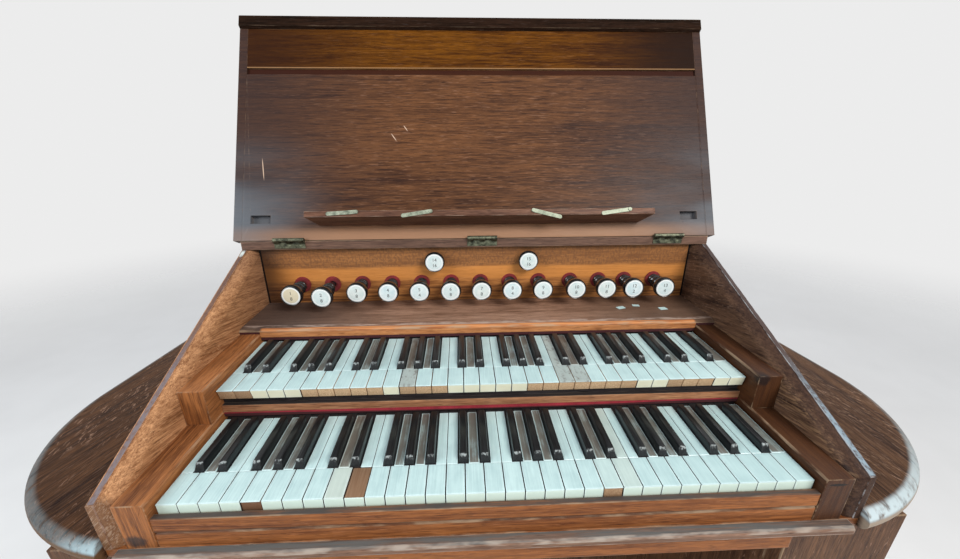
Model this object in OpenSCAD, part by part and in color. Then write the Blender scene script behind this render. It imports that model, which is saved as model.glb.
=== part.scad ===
// Organ console with two manuals, two rows of drawstops and a lid that opens into a music desk.
// X runs to the player's right, Y from the player to the back, Z up from the floor.

/* [Keyboards] */
// Natural keys on each manual
natural_count = 33; // [30:1:36]
// Distance from one natural key to the next
key_pitch = 23.5; // [22.5:0.1:24.5]
// Gap between neighbouring keys
key_gap = 0.9; // [0.6:0.1:1.2]
// Length of a natural's wide head, in front of the sharps
head_length = 46; // [42:1:52]
// Length of a whole key lever
key_length = 330; // [310:5:350]
// Thickness of a key lever
key_thickness = 17; // [15:1:18]
// Width of a sharp
sharp_width = 12.5; // [10:0.5:13]
// Height of a sharp above the naturals
sharp_height = 10; // [9:0.5:11]
// How far the front of a sharp leans back
sharp_bevel = 5; // [3:1:7]
// Height of the lower naturals above the floor
key_height = 890; // [800:10:950]
// Rise from the lower naturals to the upper ones
manual_rise = 52; // [50:1:58]
// Setback of the upper key fronts behind the lower ones
manual_setback = 143; // [138:1:150]
// How far the upper key fronts lean back at their feet
upper_front_lean = 4; // [1:0.5:8]

/* [Key surrounds] */
// Gap between the end keys and the key blocks
end_gap = 2.25; // [1.5:0.25:4]
// Width of a key block
block_width = 35; // [30:1:45]
// Height of the lower key blocks above the lower naturals
block_rise = 11; // [9:1:13]
// Height of the upper key blocks above the upper naturals
upper_block_rise = 14; // [12:1:16]
// How far the upper key blocks stand in front of the upper key fronts
upper_block_lead = 21; // [16:1:26]
// Chamfer along a key block's inner top edge
block_chamfer = 1.5; // [1:0.5:5]
// How far the key slip stands in front of the lower key fronts
slip_lead = 10; // [9:1:14]
// How far the top of the key slip lies below the lower naturals
slip_drop = 11; // [10:1:14]
// Thickness of the key slip and of the rail between the manuals
slip_thickness = 8; // [6:1:8.5]
// Groove along the key slip
slip_groove = 3; // [2:0.5:5]
// How far the rail between the manuals lies behind the upper key fronts
manual_rail_setback = 7; // [3:1:9]
// How far the top of that rail lies below the upper naturals
manual_rail_drop = 30; // [28:1:32]
// Height of that rail
manual_rail_height = 12; // [10:1:13]
// Clearance between the felt strips and the naturals under them
felt_gap = 2; // [1:0.5:2.5]
// Thickness of the felt between the upper key blocks and the stop shelf
shelf_felt = 4; // [3:0.5:5]
// Thickness of the key bed
bed_thickness = 12; // [9:1:14]
// Width of the rails that carry the keys
key_rail_width = 30; // [20:1:40]

/* [Case] */
// Thickness of the cheeks
cheek_thickness = 25; // [20:1:32]
// Radius of the round-over along a cheek's inner edge
cheek_round = 17; // [12:1:19]
// Step between a cheek's flat strip and its round-over
cheek_step = 1; // [0.5:0.5:2]
// How far the cheeks stand in front of the lower key fronts
cheek_lead = 11; // [11:1:14]
// Height of a cheek's front corner above the lower naturals
cheek_nose_rise = 13.5; // [12:0.5:20]
// Height of the top of the cheeks above the lower naturals
cheek_rise = 189; // [180:1:215]
// Depth from the lower key fronts to the back
back_depth = 645; // [600:5:720]
// Thickness of the panels of the lower case and the back
panel_thickness = 22; // [16:1:28]
// How far the deck's top lies below the lower naturals
deck_drop = 53; // [51:1:65]
// Thickness of the deck
deck_thickness = 12; // [12:1:22]
// How far the front moulding stands in front of the lower key fronts
moulding_lead = 24; // [24:1:32]
// Height of the front moulding
moulding_height = 13; // [10:1:18]
// How far the front moulding stops short of the cheeks' outer faces
moulding_inset = 15; // [8:1:20]
// Height of the apron rail under the deck
apron_height = 43; // [30:1:70]
// Thickness of the apron rail
apron_thickness = 20; // [16:1:26]
// How far the lower case stands out past the cheeks
case_margin = 80; // [60:5:110]
// Width of the front board beside the knee space
pedestal_width = 150; // [130:5:180]
// Depth of the knee space behind the lower key fronts
knee_depth = 280; // [240:5:330]
// Height of the skirting
skirting_height = 90; // [60:5:120]
// Thickness of the skirting
skirting_thickness = 10; // [8:1:12]

/* [Side shelves] */
// Reach of a side shelf past the cheek
shelf_reach = 235; // [190:5:260]
// Thickness of a side shelf
shelf_thickness = 28; // [24:1:34]
// How far a side shelf rises above the deck's top
shelf_rise = 16; // [12:1:20]
// Radius of a side shelf's rounded front
shelf_radius = 285; // [260:5:285]
// Distance of that round's centre behind the lower key fronts
shelf_centre_depth = 257; // [250:1:270]
// Angle at which a side shelf narrows towards the back
shelf_taper = 5.45; // [3:0.05:8]

/* [Stops] */
// Stops in the lower row
stop_count = 13; // [11:1:13]
// Distance from a cheek's inner face to the end stop
stop_margin = 71.6; // [60:0.1:80]
// How far both rows of stops lie right of the middle
stop_shift = 2; // [-6:0.5:6]
// Height of the lower row of stops above the stop shelf
lower_row_rise = 39; // [34:1:42]
// Height of the upper row of stops above the lower row
row_rise = 47; // [44:1:50]
// Diameter of a stop's knob
knob_diameter = 40; // [34:0.5:42]
// Diameter of the ivory face in a knob
ivory_diameter = 35; // [30:0.5:36]
// Diameter of a stop's shank
shank_diameter = 12; // [10:0.5:14]
// Length of a shank behind the stop jamb
shank_tail = 60; // [50:1:90]
// Clearance around a shank
shank_gap = 0.5; // [0.3:0.1:0.8]
// How far the first stop stands drawn
first_drawn = 8; // [0:1:30]
// How far the second stop stands drawn
second_drawn = 20; // [0:1:30]
// Thickness of the stop jamb
jamb_thickness = 16; // [12:1:22]
// How far the stop jamb lies behind the hinge rail's front
jamb_recess = 12; // [12:1:18]
// Diameter of the felt rings round the lower shanks
felt_ring_diameter = 32; // [28:1:40]
// Thickness of those felt rings
felt_ring_thickness = 3; // [2:0.5:4]
// Thickness of the stop shelf
stop_shelf_thickness = 5.5; // [5:0.5:7]
// How far the stop shelf's front edge is rounded back
stop_shelf_round = 11; // [8:1:14]
// Height of the rail under the stop shelf
stop_rail_height = 10; // [8:0.5:11]
// Depth of the rail under the stop shelf
stop_rail_depth = 18; // [14:1:26]
// How far the stop shelf lies behind the upper key fronts
stop_shelf_setback = 147; // [143:1:151]

/* [Lid] */
// Distance of the hinge rail behind the lower key fronts
rail_setback = 400; // [390:1:430]
// Height of the hinge rail's front
rail_height = 17; // [14:1:24]
// Depth of the hinge rail
rail_depth = 28; // [26:1:40]
// Thickness of the top board behind the hinge rail
top_board_thickness = 12; // [10:1:14]
// How far the lid stands out past the cheeks
lid_overhang = 13; // [8:1:20]
// Length of the lid from its hinged edge to its free edge
lid_length = 450; // [430:5:460]
// Thickness of the lid
lid_thickness = 20; // [18:1:24]
// Lean of the open lid from upright
lid_lean = 25.7; // [20:0.1:30]
// Width of the lid's end clamps
clamp_width = 16; // [12:1:60]
// Width of the rail along the lid's free edge
lip_width = 26; // [20:1:40]
// How far that rail stands proud of the lid's inner face
lip_proud = 6; // [3:0.5:6]
// Width of the upper board of the lid, groove included
upper_board_width = 94; // [80:1:110]
// Width of the groove across the lid
lid_groove_width = 13; // [6:1:16]
// Depth of that groove
lid_groove_depth = 4; // [2:0.5:6]

/* [Music ledge] */
// Depth of the music ledge
ledge_depth = 47; // [40:1:47]
// Thickness of the music ledge
ledge_thickness = 11; // [10:1:13]
// Height of its underside at the lid, above the hinge pins
ledge_foot = 27.3; // [27.3:0.1:34]
// How far its front edge rises above that
ledge_lift = 4.7; // [3:0.1:6]
// Reach of its front edge to the left
ledge_left = 315; // [300:1:380]
// Reach of its front edge to the right
ledge_right = 323; // [300:1:380]
// How far its ends are cut back at the lid
ledge_cut = 13; // [8:1:30]
// Length of a page clip
clip_length = 57; // [50:1:66]
// Width of a page clip
clip_width = 7; // [6:0.5:9]
// Thickness of a page clip
clip_thickness = 1.6; // [1.2:0.1:2]
// Diameter of a page clip's screw
screw_diameter = 3; // [2.5:0.1:3.5]

/* [Hinges] */
// Length of a lid hinge
hinge_length = 57; // [50:1:70]
// Distance of the outer hinges from the middle one
hinge_spread = 364; // [330:1:376]
// How far the hinges lie right of the middle
hinge_shift = 5; // [-10:1:10]
// Diameter of a hinge's knuckles
knuckle_diameter = 8; // [7:0.1:8.4]
// Diameter of a hinge pin
pin_diameter = 2.6; // [2:0.1:3]
// Clearance around a hinge pin
pin_gap = 0.3; // [0.1:0.05:0.4]
// Thickness of a hinge leaf
leaf_thickness = 1.5; // [1.2:0.1:2]
// Height of the leaf on the hinge rail
rail_leaf_height = 13; // [9:1:13]
// Distance of the hinge pin in front of the lid's inner face
pin_offset = 4.6; // [4.6:0.1:6]
// Gap between the lid's hinged edge and the hinge rail
lid_gap = 1; // [0.6:0.1:2]

/* [Hidden] */
$fn = 48;

manual_half = natural_count * key_pitch / 2;
block_in = manual_half + end_gap;
cheek_in = block_in + block_width;
cheek_out = cheek_in + cheek_thickness;
round_turn = 15;
case_half = cheek_out + case_margin;
knee_half = case_half - pedestal_width;
shelf_half = cheek_out + shelf_reach;
lid_half = cheek_out + lid_overhang;

deck_top = key_height - deck_drop;
deck_foot = deck_top - deck_thickness;
cheek_top = key_height + cheek_rise;
upper_height = key_height + manual_rise;
block_back = rail_setback + rail_depth;
jamb_front = rail_setback + jamb_recess;
jamb_back = jamb_front + jamb_thickness;
back_front = back_depth - panel_thickness;

manual_rail_top = upper_height - manual_rail_drop;
manual_rail_foot = manual_rail_top - manual_rail_height;
manual_rail_front = manual_setback + manual_rail_setback;
upper_block_top = upper_height + upper_block_rise;
stop_shelf_foot = upper_block_top + shelf_felt;
stop_shelf_top = stop_shelf_foot + stop_shelf_thickness;
stop_rail_foot = stop_shelf_foot - stop_rail_height;
stop_shelf_front = manual_setback + stop_shelf_setback;
felt_recess = 1;
felt_width = 6;

// Sharps stand off the middle of their gap by these shares of the pitch, from C round to B
sharp_offsets = [-0.094, 0.094, 0, -0.128, 0, 0.128, 0];
sharp_places = [0, 1, 3, 4, 5];
octave = 7;
// The caps of the sharps end this far in front of the rail over their levers
cap_gap = 16;
// The top of a key front stays upright down to this depth
front_lip = 2;

// Places of the key rails along a lever
front_rail_place = 12;
balance_rail_place = 165;
back_rail_place = 285;
// Height of the key rails on the upper key bed
upper_rail_rise = 3;

stop_pitch = 2 * (cheek_in - stop_margin) / (stop_count - 1);
lower_row_height = stop_shelf_top + lower_row_rise;
upper_row_height = lower_row_height + row_rise;
// The upper stops stand over the gaps one and a half places either side of the middle
upper_row_places = [-1.5, 1.5];
// A few stops stand this far to the right of their even places
stop_nudges = [0, 0, 0, 0, 0, 0, 0, 0, 0, 5.5, 5.5, 0, 2, -1.5, 5];
// A pushed-in knob stops this far short of what it rests on
seat_gap = 0.3;
knob_radius = knob_diameter / 2;
shank_radius = shank_diameter / 2;
// Turned outlines of the heads, as radius and distance from the seat
long_head = [[shank_radius + 5, 0], [shank_radius + 5, 4], [shank_radius + 3, 6],
    [shank_radius + 3, 10], [shank_radius + 7, 12], [shank_radius + 7, 15],
    [shank_radius + 4, 17], [shank_radius + 5, 24], [shank_radius + 9, 27],
    [shank_radius + 9, 30], [shank_radius + 7, 32], [knob_radius - 4, 38],
    [knob_radius, 43], [knob_radius, 50], [knob_radius - 2, 53.7]];
short_head = [[shank_radius + 8, 0], [shank_radius + 8, 4], [shank_radius + 6, 6],
    [knob_radius - 3, 10], [knob_radius, 13], [knob_radius, 18],
    [knob_radius - 2, 21.7]];
// The ivory face lies this far inside the knob's rim
ivory_recess = 0.8;

// The hinge pins' line, in front of and above the hinge rail's front top edge
rail_top = cheek_top + rail_height;
pin_depth = rail_setback + lid_gap / 2 * sin(lid_lean) - pin_offset * cos(lid_lean);
pin_height = rail_top + lid_gap / 2 * cos(lid_lean) + pin_offset * sin(lid_lean);
lid_foot = lid_gap / 2;
lid_back = pin_offset + lid_thickness;
lip_foot = lid_length - lip_width;
upper_board_foot = lip_foot - upper_board_width;
board_half = lid_half - clamp_width;
hinge_places = [hinge_shift - hinge_spread, hinge_shift, hinge_shift + hinge_spread];
knuckle_count = 5;
knuckle_gap = 0.4;
knuckle_length = (hinge_length - (knuckle_count - 1) * knuckle_gap) / knuckle_count;
lid_leaf_reach = lid_thickness - 3;
web_width = 3;

ledge_front = pin_offset - ledge_depth;
// Each clip's screw along the ledge, the side its free end points to and its droop
clips = [[-222.4, -1, 3.5], [-89.5, -1, 8.7], [97.1, 1, 14.6], [275.6, -1, 7.7]];
// Height of the screws above the lower edge of the ledge's front
screw_rise = 8.5;
clip_rise = ledge_foot + ledge_lift + screw_rise;
clip_play = 0.3;
screw_head_radius = 3.2;
screw_head_thickness = 1.2;
screw_inset = clip_width / 2;

centre_y = (back_depth - moulding_lead) / 2;

oak = "peru";
dark_oak = "saddlebrown";
lid_oak = "sienna";
ivory = "ivory";
ebony = "dimgray";
felt_red = "firebrick";
brass = "darkkhaki";

function two_digits(i) = str(i < 10 ? "0" : "", i);
function stop_name(i) = str("drawstop_", two_digits(i));
function clip_name(i) = str("page_clip_", i);
stop_total = stop_count + len(upper_row_places);

// Shared helpers

// Puts the console's middle over the origin
module place() translate([0, -centre_y, 0]) children();

// A square board between two opposite corners
module board(low, high) translate(low) cube(high - low);

// A length along X, drawn as an outline in Y and Z
module bar(x_low, x_high, outline)
    translate([x_low, 0, 0]) rotate([90, 0, 90]) linear_extrude(x_high - x_low)
        polygon(outline);

module both_sides() {
    children();
    mirror([1, 0, 0]) children();
}

// The open lid's own frame: Y into its thickness, Z up along it from the hinge pins
module on_lid()
    translate([0, pin_depth, pin_height]) rotate([-lid_lean, 0, 0]) children();

// Case

// The section of a cheek's edge, a flat strip and a round-over in flats towards the keys
module cheek_edge(depth) {
    middle = [cheek_in + cheek_round, cheek_step + cheek_round];
    polygon(concat(
        [[middle[0], 0], [cheek_out, 0], [cheek_out, depth], [cheek_in, depth]],
        [for (turn = [0:round_turn:90]) middle - cheek_round * [cos(turn), sin(turn)]]));
}

// Sloped at the top and upright at the front, with its inner edge rounded along both
module cheek() {
    nose_top = key_height + cheek_nose_rise;
    slope = atan((cheek_top - nose_top) / (rail_setback + cheek_lead));
    intersection() {
        board([cheek_in, -2 * cheek_lead, deck_top], [cheek_out, back_depth, cheek_top]);
        translate([0, -cheek_lead, nose_top]) rotate([slope - 90, 0, 0])
            translate([0, 0, -back_depth]) linear_extrude(3 * back_depth)
                cheek_edge(2 * back_depth);
        translate([0, -cheek_lead, 0]) linear_extrude(2 * cheek_top)
            cheek_edge(2 * back_depth);
    }
}

module right_cheek() color(oak) place() cheek();
module left_cheek() color(oak) place() mirror([1, 0, 0]) cheek();

// A side shelf's section, a flat board with a half-round nose along its free edge
module shelf_section(core, nose) {
    translate([0, -nose]) square([core, 2 * nose]);
    translate([core, 0]) circle(nose);
}

module side_shelf() {
    nose = shelf_thickness / 2;
    core = shelf_radius - nose;
    run = (back_depth - shelf_centre_depth) / cos(shelf_taper);
    translate([0, 0, deck_top + shelf_rise - nose]) intersection() {
        translate([shelf_half - shelf_radius, shelf_centre_depth]) {
            rotate([0, 0, -90]) rotate_extrude(angle = 90 + shelf_taper)
                shelf_section(core, nose);
            rotate([0, 0, shelf_taper]) translate([0, run, 0]) rotate([90, 0, 0])
                linear_extrude(run) shelf_section(core, nose);
        }
        board([cheek_out, -shelf_radius, -shelf_thickness],
              [cheek_out + shelf_reach + nose, back_depth, shelf_thickness]);
    }
}

module right_shelf() color(oak) place() side_shelf();
module left_shelf() color(oak) place() mirror([1, 0, 0]) side_shelf();

module deck() color(dark_oak) place()
    board([-cheek_out, -cheek_lead, deck_foot], [cheek_out, back_depth, deck_top]);

module key_slip() color(dark_oak) place() {
    top = key_height - slip_drop;
    groove_height = (top + deck_top) / 2;
    half = slip_groove / 2;
    bar(-block_in, block_in, [
        [-slip_lead, deck_top], [slip_thickness - slip_lead, deck_top],
        [slip_thickness - slip_lead, top], [-slip_lead, top],
        [-slip_lead, groove_height + half], [half - slip_lead, groove_height],
        [-slip_lead, groove_height - half]]);
}

module front_moulding() color(dark_oak) place() {
    half = cheek_out - moulding_inset;
    nose = moulding_height / 4;
    foot = deck_top - moulding_height;
    bar(-half, half, [
        [-cheek_lead, foot], [-cheek_lead, deck_top], [nose - moulding_lead, deck_top],
        [-moulding_lead, deck_top - nose], [-moulding_lead, foot + nose],
        [nose - moulding_lead, foot]]);
}

module apron_rail() color(dark_oak) place()
    board([-knee_half, -cheek_lead / 2, deck_foot - apron_height],
          [knee_half, apron_thickness - cheek_lead / 2, deck_foot]);

module hinge_rail() color(dark_oak) place()
    bar(-cheek_out, cheek_out, [
        [rail_setback, cheek_top], [rail_setback, rail_top],
        [block_back, rail_top - rail_depth * tan(lid_lean)], [block_back, cheek_top]]);

module top_board() color(oak) place()
    board([-cheek_out, block_back, cheek_top],
          [cheek_out, back_depth, cheek_top + top_board_thickness]);

module upper_back() color(oak) place()
    board([-cheek_in, back_front, deck_top], [cheek_in, back_depth, cheek_top]);

module lower_back() color(oak) place()
    board([-case_half, back_front, 0], [case_half, back_depth, deck_foot]);

module case_side()
    board([case_half - panel_thickness, panel_thickness, 0],
          [case_half, back_front, deck_foot]);

module right_side() color(oak) place() case_side();
module left_side() color(oak) place() mirror([1, 0, 0]) case_side();

module pedestal_fronts() color(oak) place() both_sides()
    board([knee_half, 0, 0], [case_half, panel_thickness, deck_foot]);

module knee_sides() color(oak) place() both_sides()
    board([knee_half, panel_thickness, 0],
          [knee_half + panel_thickness, knee_depth, deck_foot]);

module knee_panel() color(oak) place()
    board([-knee_half - panel_thickness, knee_depth, 0],
          [knee_half + panel_thickness, knee_depth + panel_thickness, deck_foot]);

module skirting() color(dark_oak) place() both_sides() linear_extrude(skirting_height)
    polygon([[knee_half, -skirting_thickness],
        [case_half + skirting_thickness, -skirting_thickness],
        [case_half + skirting_thickness, back_depth], [case_half, back_depth],
        [case_half, 0], [knee_half, 0]]);

// Keyboards

// An outline in X and Z for a block with its inner top edge cut off
module key_block(front, foot, top)
    translate([0, block_back, 0]) rotate([90, 0, 0]) linear_extrude(block_back - front)
        polygon([[block_in, foot], [cheek_in, foot], [cheek_in, top],
            [block_in + block_chamfer, top], [block_in, top - block_chamfer]]);

module lower_key_blocks() color(dark_oak) place() both_sides()
    key_block(-cheek_lead, deck_top, key_height + block_rise);

module upper_key_blocks() color(dark_oak) place() both_sides()
    key_block(manual_setback - upper_block_lead, key_height + block_rise, upper_block_top);

// A bed board with the three rails that the levers lie on
module key_frame(front, foot, level) {
    top = foot + bed_thickness;
    board([-block_in, front, foot], [block_in, front + key_length, top]);
    for (y = [front_rail_place, balance_rail_place, back_rail_place])
        board([-block_in, front + y, top],
              [block_in, front + y + key_rail_width, level - key_thickness]);
}

module lower_key_frame() color("burlywood") place() key_frame(0, deck_top, key_height);

module upper_key_frame() color("burlywood") place()
    key_frame(manual_rail_front + slip_thickness,
              upper_height - key_thickness - upper_rail_rise - bed_thickness, upper_height);

function left_edge(i) = (i - natural_count / 2) * key_pitch;
function has_sharp(i) = i >= 0 && i < natural_count - 1
    && len(search(i % octave, sharp_places)) > 0;
function sharp_middle(i) = left_edge(i + 1) + sharp_offsets[i % octave] * key_pitch;
function notch_half() = sharp_width / 2 + key_gap;

// What is cut off key fronts that lean back
module front_wedge(lean)
    bar(-manual_half, manual_half, [[-1, -1], [lean * (1 + 1 / key_thickness), -1],
        [0, key_thickness - front_lip], [-1, key_thickness - front_lip]]);

// One natural seen from above, cut back beside the sharps
module natural(i) {
    low = left_edge(i) + key_gap / 2;
    high = left_edge(i + 1) - key_gap / 2;
    right_side = has_sharp(i)
        ? [[high, head_length], [sharp_middle(i) - notch_half(), head_length],
           [sharp_middle(i) - notch_half(), key_length]]
        : [[high, key_length]];
    left_side = has_sharp(i - 1)
        ? [[sharp_middle(i - 1) + notch_half(), key_length],
           [sharp_middle(i - 1) + notch_half(), head_length], [low, head_length]]
        : [[low, key_length]];
    linear_extrude(key_thickness)
        polygon(concat([[low, 0], [high, 0]], right_side, left_side));
}

module naturals(front, level, lean)
    translate([0, front, level - key_thickness])
        for (i = [0:natural_count - 1]) difference() {
            natural(i);
            if (lean > 0) front_wedge(lean);
        }

module sharps(front, level, cap_back) {
    start = head_length + key_gap;
    outline = [[start, -key_thickness], [start, 0], [start + sharp_bevel, sharp_height],
        [cap_back, sharp_height], [cap_back, 0], [key_length, 0],
        [key_length, -key_thickness]];
    translate([0, front, level])
        for (i = [0:natural_count - 1])
            if (has_sharp(i))
                bar(sharp_middle(i) - sharp_width / 2, sharp_middle(i) + sharp_width / 2,
                    outline);
}

module lower_naturals() color(ivory) place() naturals(0, key_height, 0);
module upper_naturals() color(ivory) place()
    naturals(manual_setback, upper_height, upper_front_lean);
module lower_sharps() color(ebony) place()
    sharps(0, key_height, manual_rail_front - cap_gap);
module upper_sharps() color(ebony) place()
    sharps(manual_setback, upper_height, stop_shelf_setback - cap_gap);

module manual_rail() color(dark_oak) place()
    board([-block_in, manual_rail_front, manual_rail_foot],
          [block_in, manual_rail_front + slip_thickness, manual_rail_top]);

module manual_felt() color(felt_red) place()
    board([-block_in, manual_rail_front + felt_recess, key_height + felt_gap],
          [block_in, manual_rail_front + felt_recess + felt_width, manual_rail_foot]);

// Stops

module stop_shelf() color(dark_oak) place()
    bar(-cheek_in, cheek_in, [
        [stop_shelf_front, stop_shelf_foot], [jamb_back, stop_shelf_foot],
        [jamb_back, stop_shelf_top], [stop_shelf_front + stop_shelf_round, stop_shelf_top],
        [stop_shelf_front + stop_shelf_round / 3, stop_shelf_top - stop_shelf_thickness / 4],
        [stop_shelf_front, stop_shelf_foot + stop_shelf_thickness / 3]]);

module stop_rail() color(oak) place()
    board([-block_in, stop_shelf_front, stop_rail_foot],
          [block_in, stop_shelf_front + stop_rail_depth, stop_shelf_foot]);

// Felt lies under the rail and, either side of it, on the upper key blocks
module stop_felt() color(felt_red) place() {
    front = stop_shelf_front + felt_recess;
    board([-block_in, front, upper_height + felt_gap],
          [block_in, front + felt_width, stop_rail_foot]);
    both_sides() board([block_in, front, upper_block_top],
                       [cheek_in, front + felt_width, stop_shelf_foot]);
}

// A stop's place across the jamb and up it, the lower row first
function in_lower_row(i) = i <= stop_count;
function stop_x(i) = stop_shift + stop_nudges[i - 1] + stop_pitch
    * (in_lower_row(i) ? i - (stop_count + 1) / 2 : upper_row_places[i - stop_count - 1]);
function stop_z(i) = in_lower_row(i) ? lower_row_height : upper_row_height;
function stop_drawn(i) = i == 1 ? first_drawn : i == 2 ? second_drawn : 0;

// Turns what is drawn along Z to point from the jamb's front towards the player
module at_stop(i)
    translate([stop_x(i), jamb_front, stop_z(i)]) rotate([90, 0, 0]) children();

module stop_jamb() color(oak) place() difference() {
    board([-cheek_in, jamb_front, stop_shelf_top], [cheek_in, jamb_back, cheek_top]);
    for (i = [1:stop_total])
        at_stop(i) translate([0, 0, -jamb_thickness - 1])
            cylinder(r = shank_radius + shank_gap, h = jamb_thickness + 2);
}

module felt_rings() color(felt_red) place()
    for (i = [1:stop_count])
        at_stop(i) difference() {
            cylinder(d = felt_ring_diameter, h = felt_ring_thickness);
            translate([0, 0, -1])
                cylinder(r = shank_radius + shank_gap, h = felt_ring_thickness + 2);
        }

module drawstop(i) {
    head = in_lower_row(i) ? long_head : short_head;
    seat = seat_gap + (in_lower_row(i) ? felt_ring_thickness : 0);
    face = head[len(head) - 1].y;
    ivory_radius = ivory_diameter / 2;
    color(ebony) place() at_stop(i) translate([0, 0, seat + stop_drawn(i)])
        rotate_extrude()
            polygon(concat([[0, -seat - jamb_thickness - shank_tail],
                [shank_radius, -seat - jamb_thickness - shank_tail], [shank_radius, 0]],
                head, [[ivory_radius, face], [ivory_radius, face - ivory_recess],
                [0, face - ivory_recess]]));
}

// Lid

module lid_slab(x_low, x_high, foot, top)
    on_lid() board([x_low, pin_offset, foot], [x_high, lid_back, top]);

// A hinge's leaf lies in a pocket in the lid's hinged edge
module lid_leaf(x, play)
    translate([x - hinge_length / 2 - play, pin_offset, lid_foot])
        cube([hinge_length + 2 * play, lid_leaf_reach + play, leaf_thickness]);

module lid_panel() color(lid_oak) place() difference() {
    lid_slab(-board_half, board_half, lid_foot, upper_board_foot);
    on_lid() for (x = hinge_places) {
        lid_leaf(x, 0.1);
        translate([0, -1, 0]) lid_leaf(x, 0.1);
        translate([0, 0, -1]) lid_leaf(x, 0.1);
    }
}

module lid_upper_board() color(oak) place() on_lid()
    bar(-board_half, board_half, [
        [pin_offset + lid_groove_depth, upper_board_foot], [lid_back, upper_board_foot],
        [lid_back, lip_foot], [pin_offset, lip_foot],
        [pin_offset, upper_board_foot + lid_groove_width],
        [pin_offset + lid_groove_depth, upper_board_foot + lid_groove_width]]);

module lid_clamps() color(lid_oak) place() both_sides()
    lid_slab(board_half, lid_half, lid_foot, lip_foot);

module lid_lip() color(lid_oak) place() on_lid() {
    nose = lip_proud / 2;
    bar(-lid_half, lid_half, [
        [lid_back, lip_foot], [lid_back, lid_length], [pin_offset - lip_proud + nose, lid_length],
        [pin_offset - lip_proud, lid_length - nose], [pin_offset - lip_proud, lip_foot + nose],
        [pin_offset, lip_foot]]);
}

module music_ledge() color(lid_oak) place() on_lid() {
    front_foot = ledge_foot + ledge_lift;
    front_top = front_foot + ledge_thickness;
    intersection() {
        bar(-ledge_left, ledge_right, [[ledge_front, front_foot], [pin_offset, ledge_foot],
            [pin_offset, ledge_foot + ledge_thickness], [ledge_front, front_top]]);
        linear_extrude(front_top + 1)
            polygon([[-ledge_left, ledge_front], [ledge_right, ledge_front],
                [ledge_right - ledge_cut, pin_offset], [-ledge_left + ledge_cut, pin_offset]]);
    }
}

// Turns what is drawn along Z to point from the ledge's front edge towards the player
module at_clip(clip)
    on_lid() translate([clip[0], ledge_front, clip_rise]) rotate([90, 0, 0]) children();

module clip_screws() color(brass) place()
    for (clip = clips) {
        shank = clip_thickness + 2 * clip_play;
        at_clip(clip) {
            cylinder(d = screw_diameter, h = shank);
            translate([0, 0, shank]) cylinder(r = screw_head_radius, h = screw_head_thickness);
        }
    }

module page_clip(i) {
    clip = clips[i - 1];
    reach = clip_length - 2 * screw_inset;
    color(brass) place() at_clip(clip) translate([0, 0, clip_play])
        rotate([0, 0, -clip[1] * clip[2]]) linear_extrude(clip_thickness) difference() {
            union() {
                circle(clip_width / 2);
                translate([clip[1] * reach, 0]) circle(clip_width / 2);
                translate([clip[1] * reach / 2, 0]) square([reach, clip_width], center = true);
            }
            circle(d = screw_diameter + 2 * clip_play);
        }
}

// Hinges, with the odd knuckles on the rail and the even ones on the lid

function knuckle_start(x, k) = x - hinge_length / 2 + k * (knuckle_length + knuckle_gap);

module knuckle(x, k)
    translate([knuckle_start(x, k), 0, 0]) rotate([0, 90, 0])
        cylinder(d = knuckle_diameter, h = knuckle_length);

module rail_hinge(x) {
    leaf_top = rail_top - lid_gap;
    bar(x - hinge_length / 2, x + hinge_length / 2, [
        [rail_setback - leaf_thickness, leaf_top - rail_leaf_height],
        [rail_setback, leaf_top - rail_leaf_height], [rail_setback, leaf_top - 2],
        [rail_setback - leaf_thickness, leaf_top - 2]]);
    for (k = [0:2:knuckle_count - 1]) {
        translate([0, pin_depth, pin_height]) knuckle(x, k);
        bar(knuckle_start(x, k), knuckle_start(x, k) + knuckle_length, [
            [rail_setback - leaf_thickness, leaf_top - web_width - 2],
            [rail_setback, leaf_top - web_width - 2], [rail_setback, leaf_top],
            [pin_depth + 1, pin_height], [pin_depth - web_width, pin_height]]);
    }
    translate([x - hinge_length / 2, pin_depth, pin_height]) rotate([0, 90, 0])
        cylinder(d = pin_diameter, h = hinge_length);
}

module rail_hinges() color(brass) place() for (x = hinge_places) rail_hinge(x);

module lid_hinge(x) difference() {
    union() {
        lid_leaf(x, 0);
        for (k = [1:2:knuckle_count - 1]) {
            knuckle(x, k);
            translate([knuckle_start(x, k), 0, lid_foot])
                cube([knuckle_length, pin_offset, leaf_thickness]);
        }
    }
    translate([x - hinge_length / 2, 0, 0]) rotate([0, 90, 0])
        cylinder(d = pin_diameter + 2 * pin_gap, h = hinge_length);
}

module lid_hinges() color(brass) place() on_lid() for (x = hinge_places) lid_hinge(x);

left_cheek();
right_cheek();
left_shelf();
right_shelf();
deck();
key_slip();
front_moulding();
apron_rail();
lower_key_blocks();
upper_key_blocks();
lower_key_frame();
upper_key_frame();
lower_naturals();
lower_sharps();
upper_naturals();
upper_sharps();
manual_rail();
manual_felt();
stop_shelf();
stop_rail();
stop_felt();
stop_jamb();
felt_rings();
hinge_rail();
top_board();
upper_back();
lower_back();
left_side();
right_side();
pedestal_fronts();
knee_sides();
knee_panel();
skirting();
rail_hinges();
lid_hinges();
lid_panel();
lid_upper_board();
lid_clamps();
lid_lip();
music_ledge();
clip_screws();
for (i = [1:len(clips)]) page_clip(i);
for (i = [1:stop_total]) drawstop(i);
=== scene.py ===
"""Looks of an old oak pipe organ console: two keyboards, drawstops, side shelves and an open lid.

Lengths in the lists below are millimetres: x to the player's right, y back from the lower key
fronts and z up from the floor. at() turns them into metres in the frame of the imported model. The
materials count in metres in that frame.
"""
import random
from math import cos, pi, radians, sin

import bpy
from mathutils import Matrix, Vector


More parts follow.
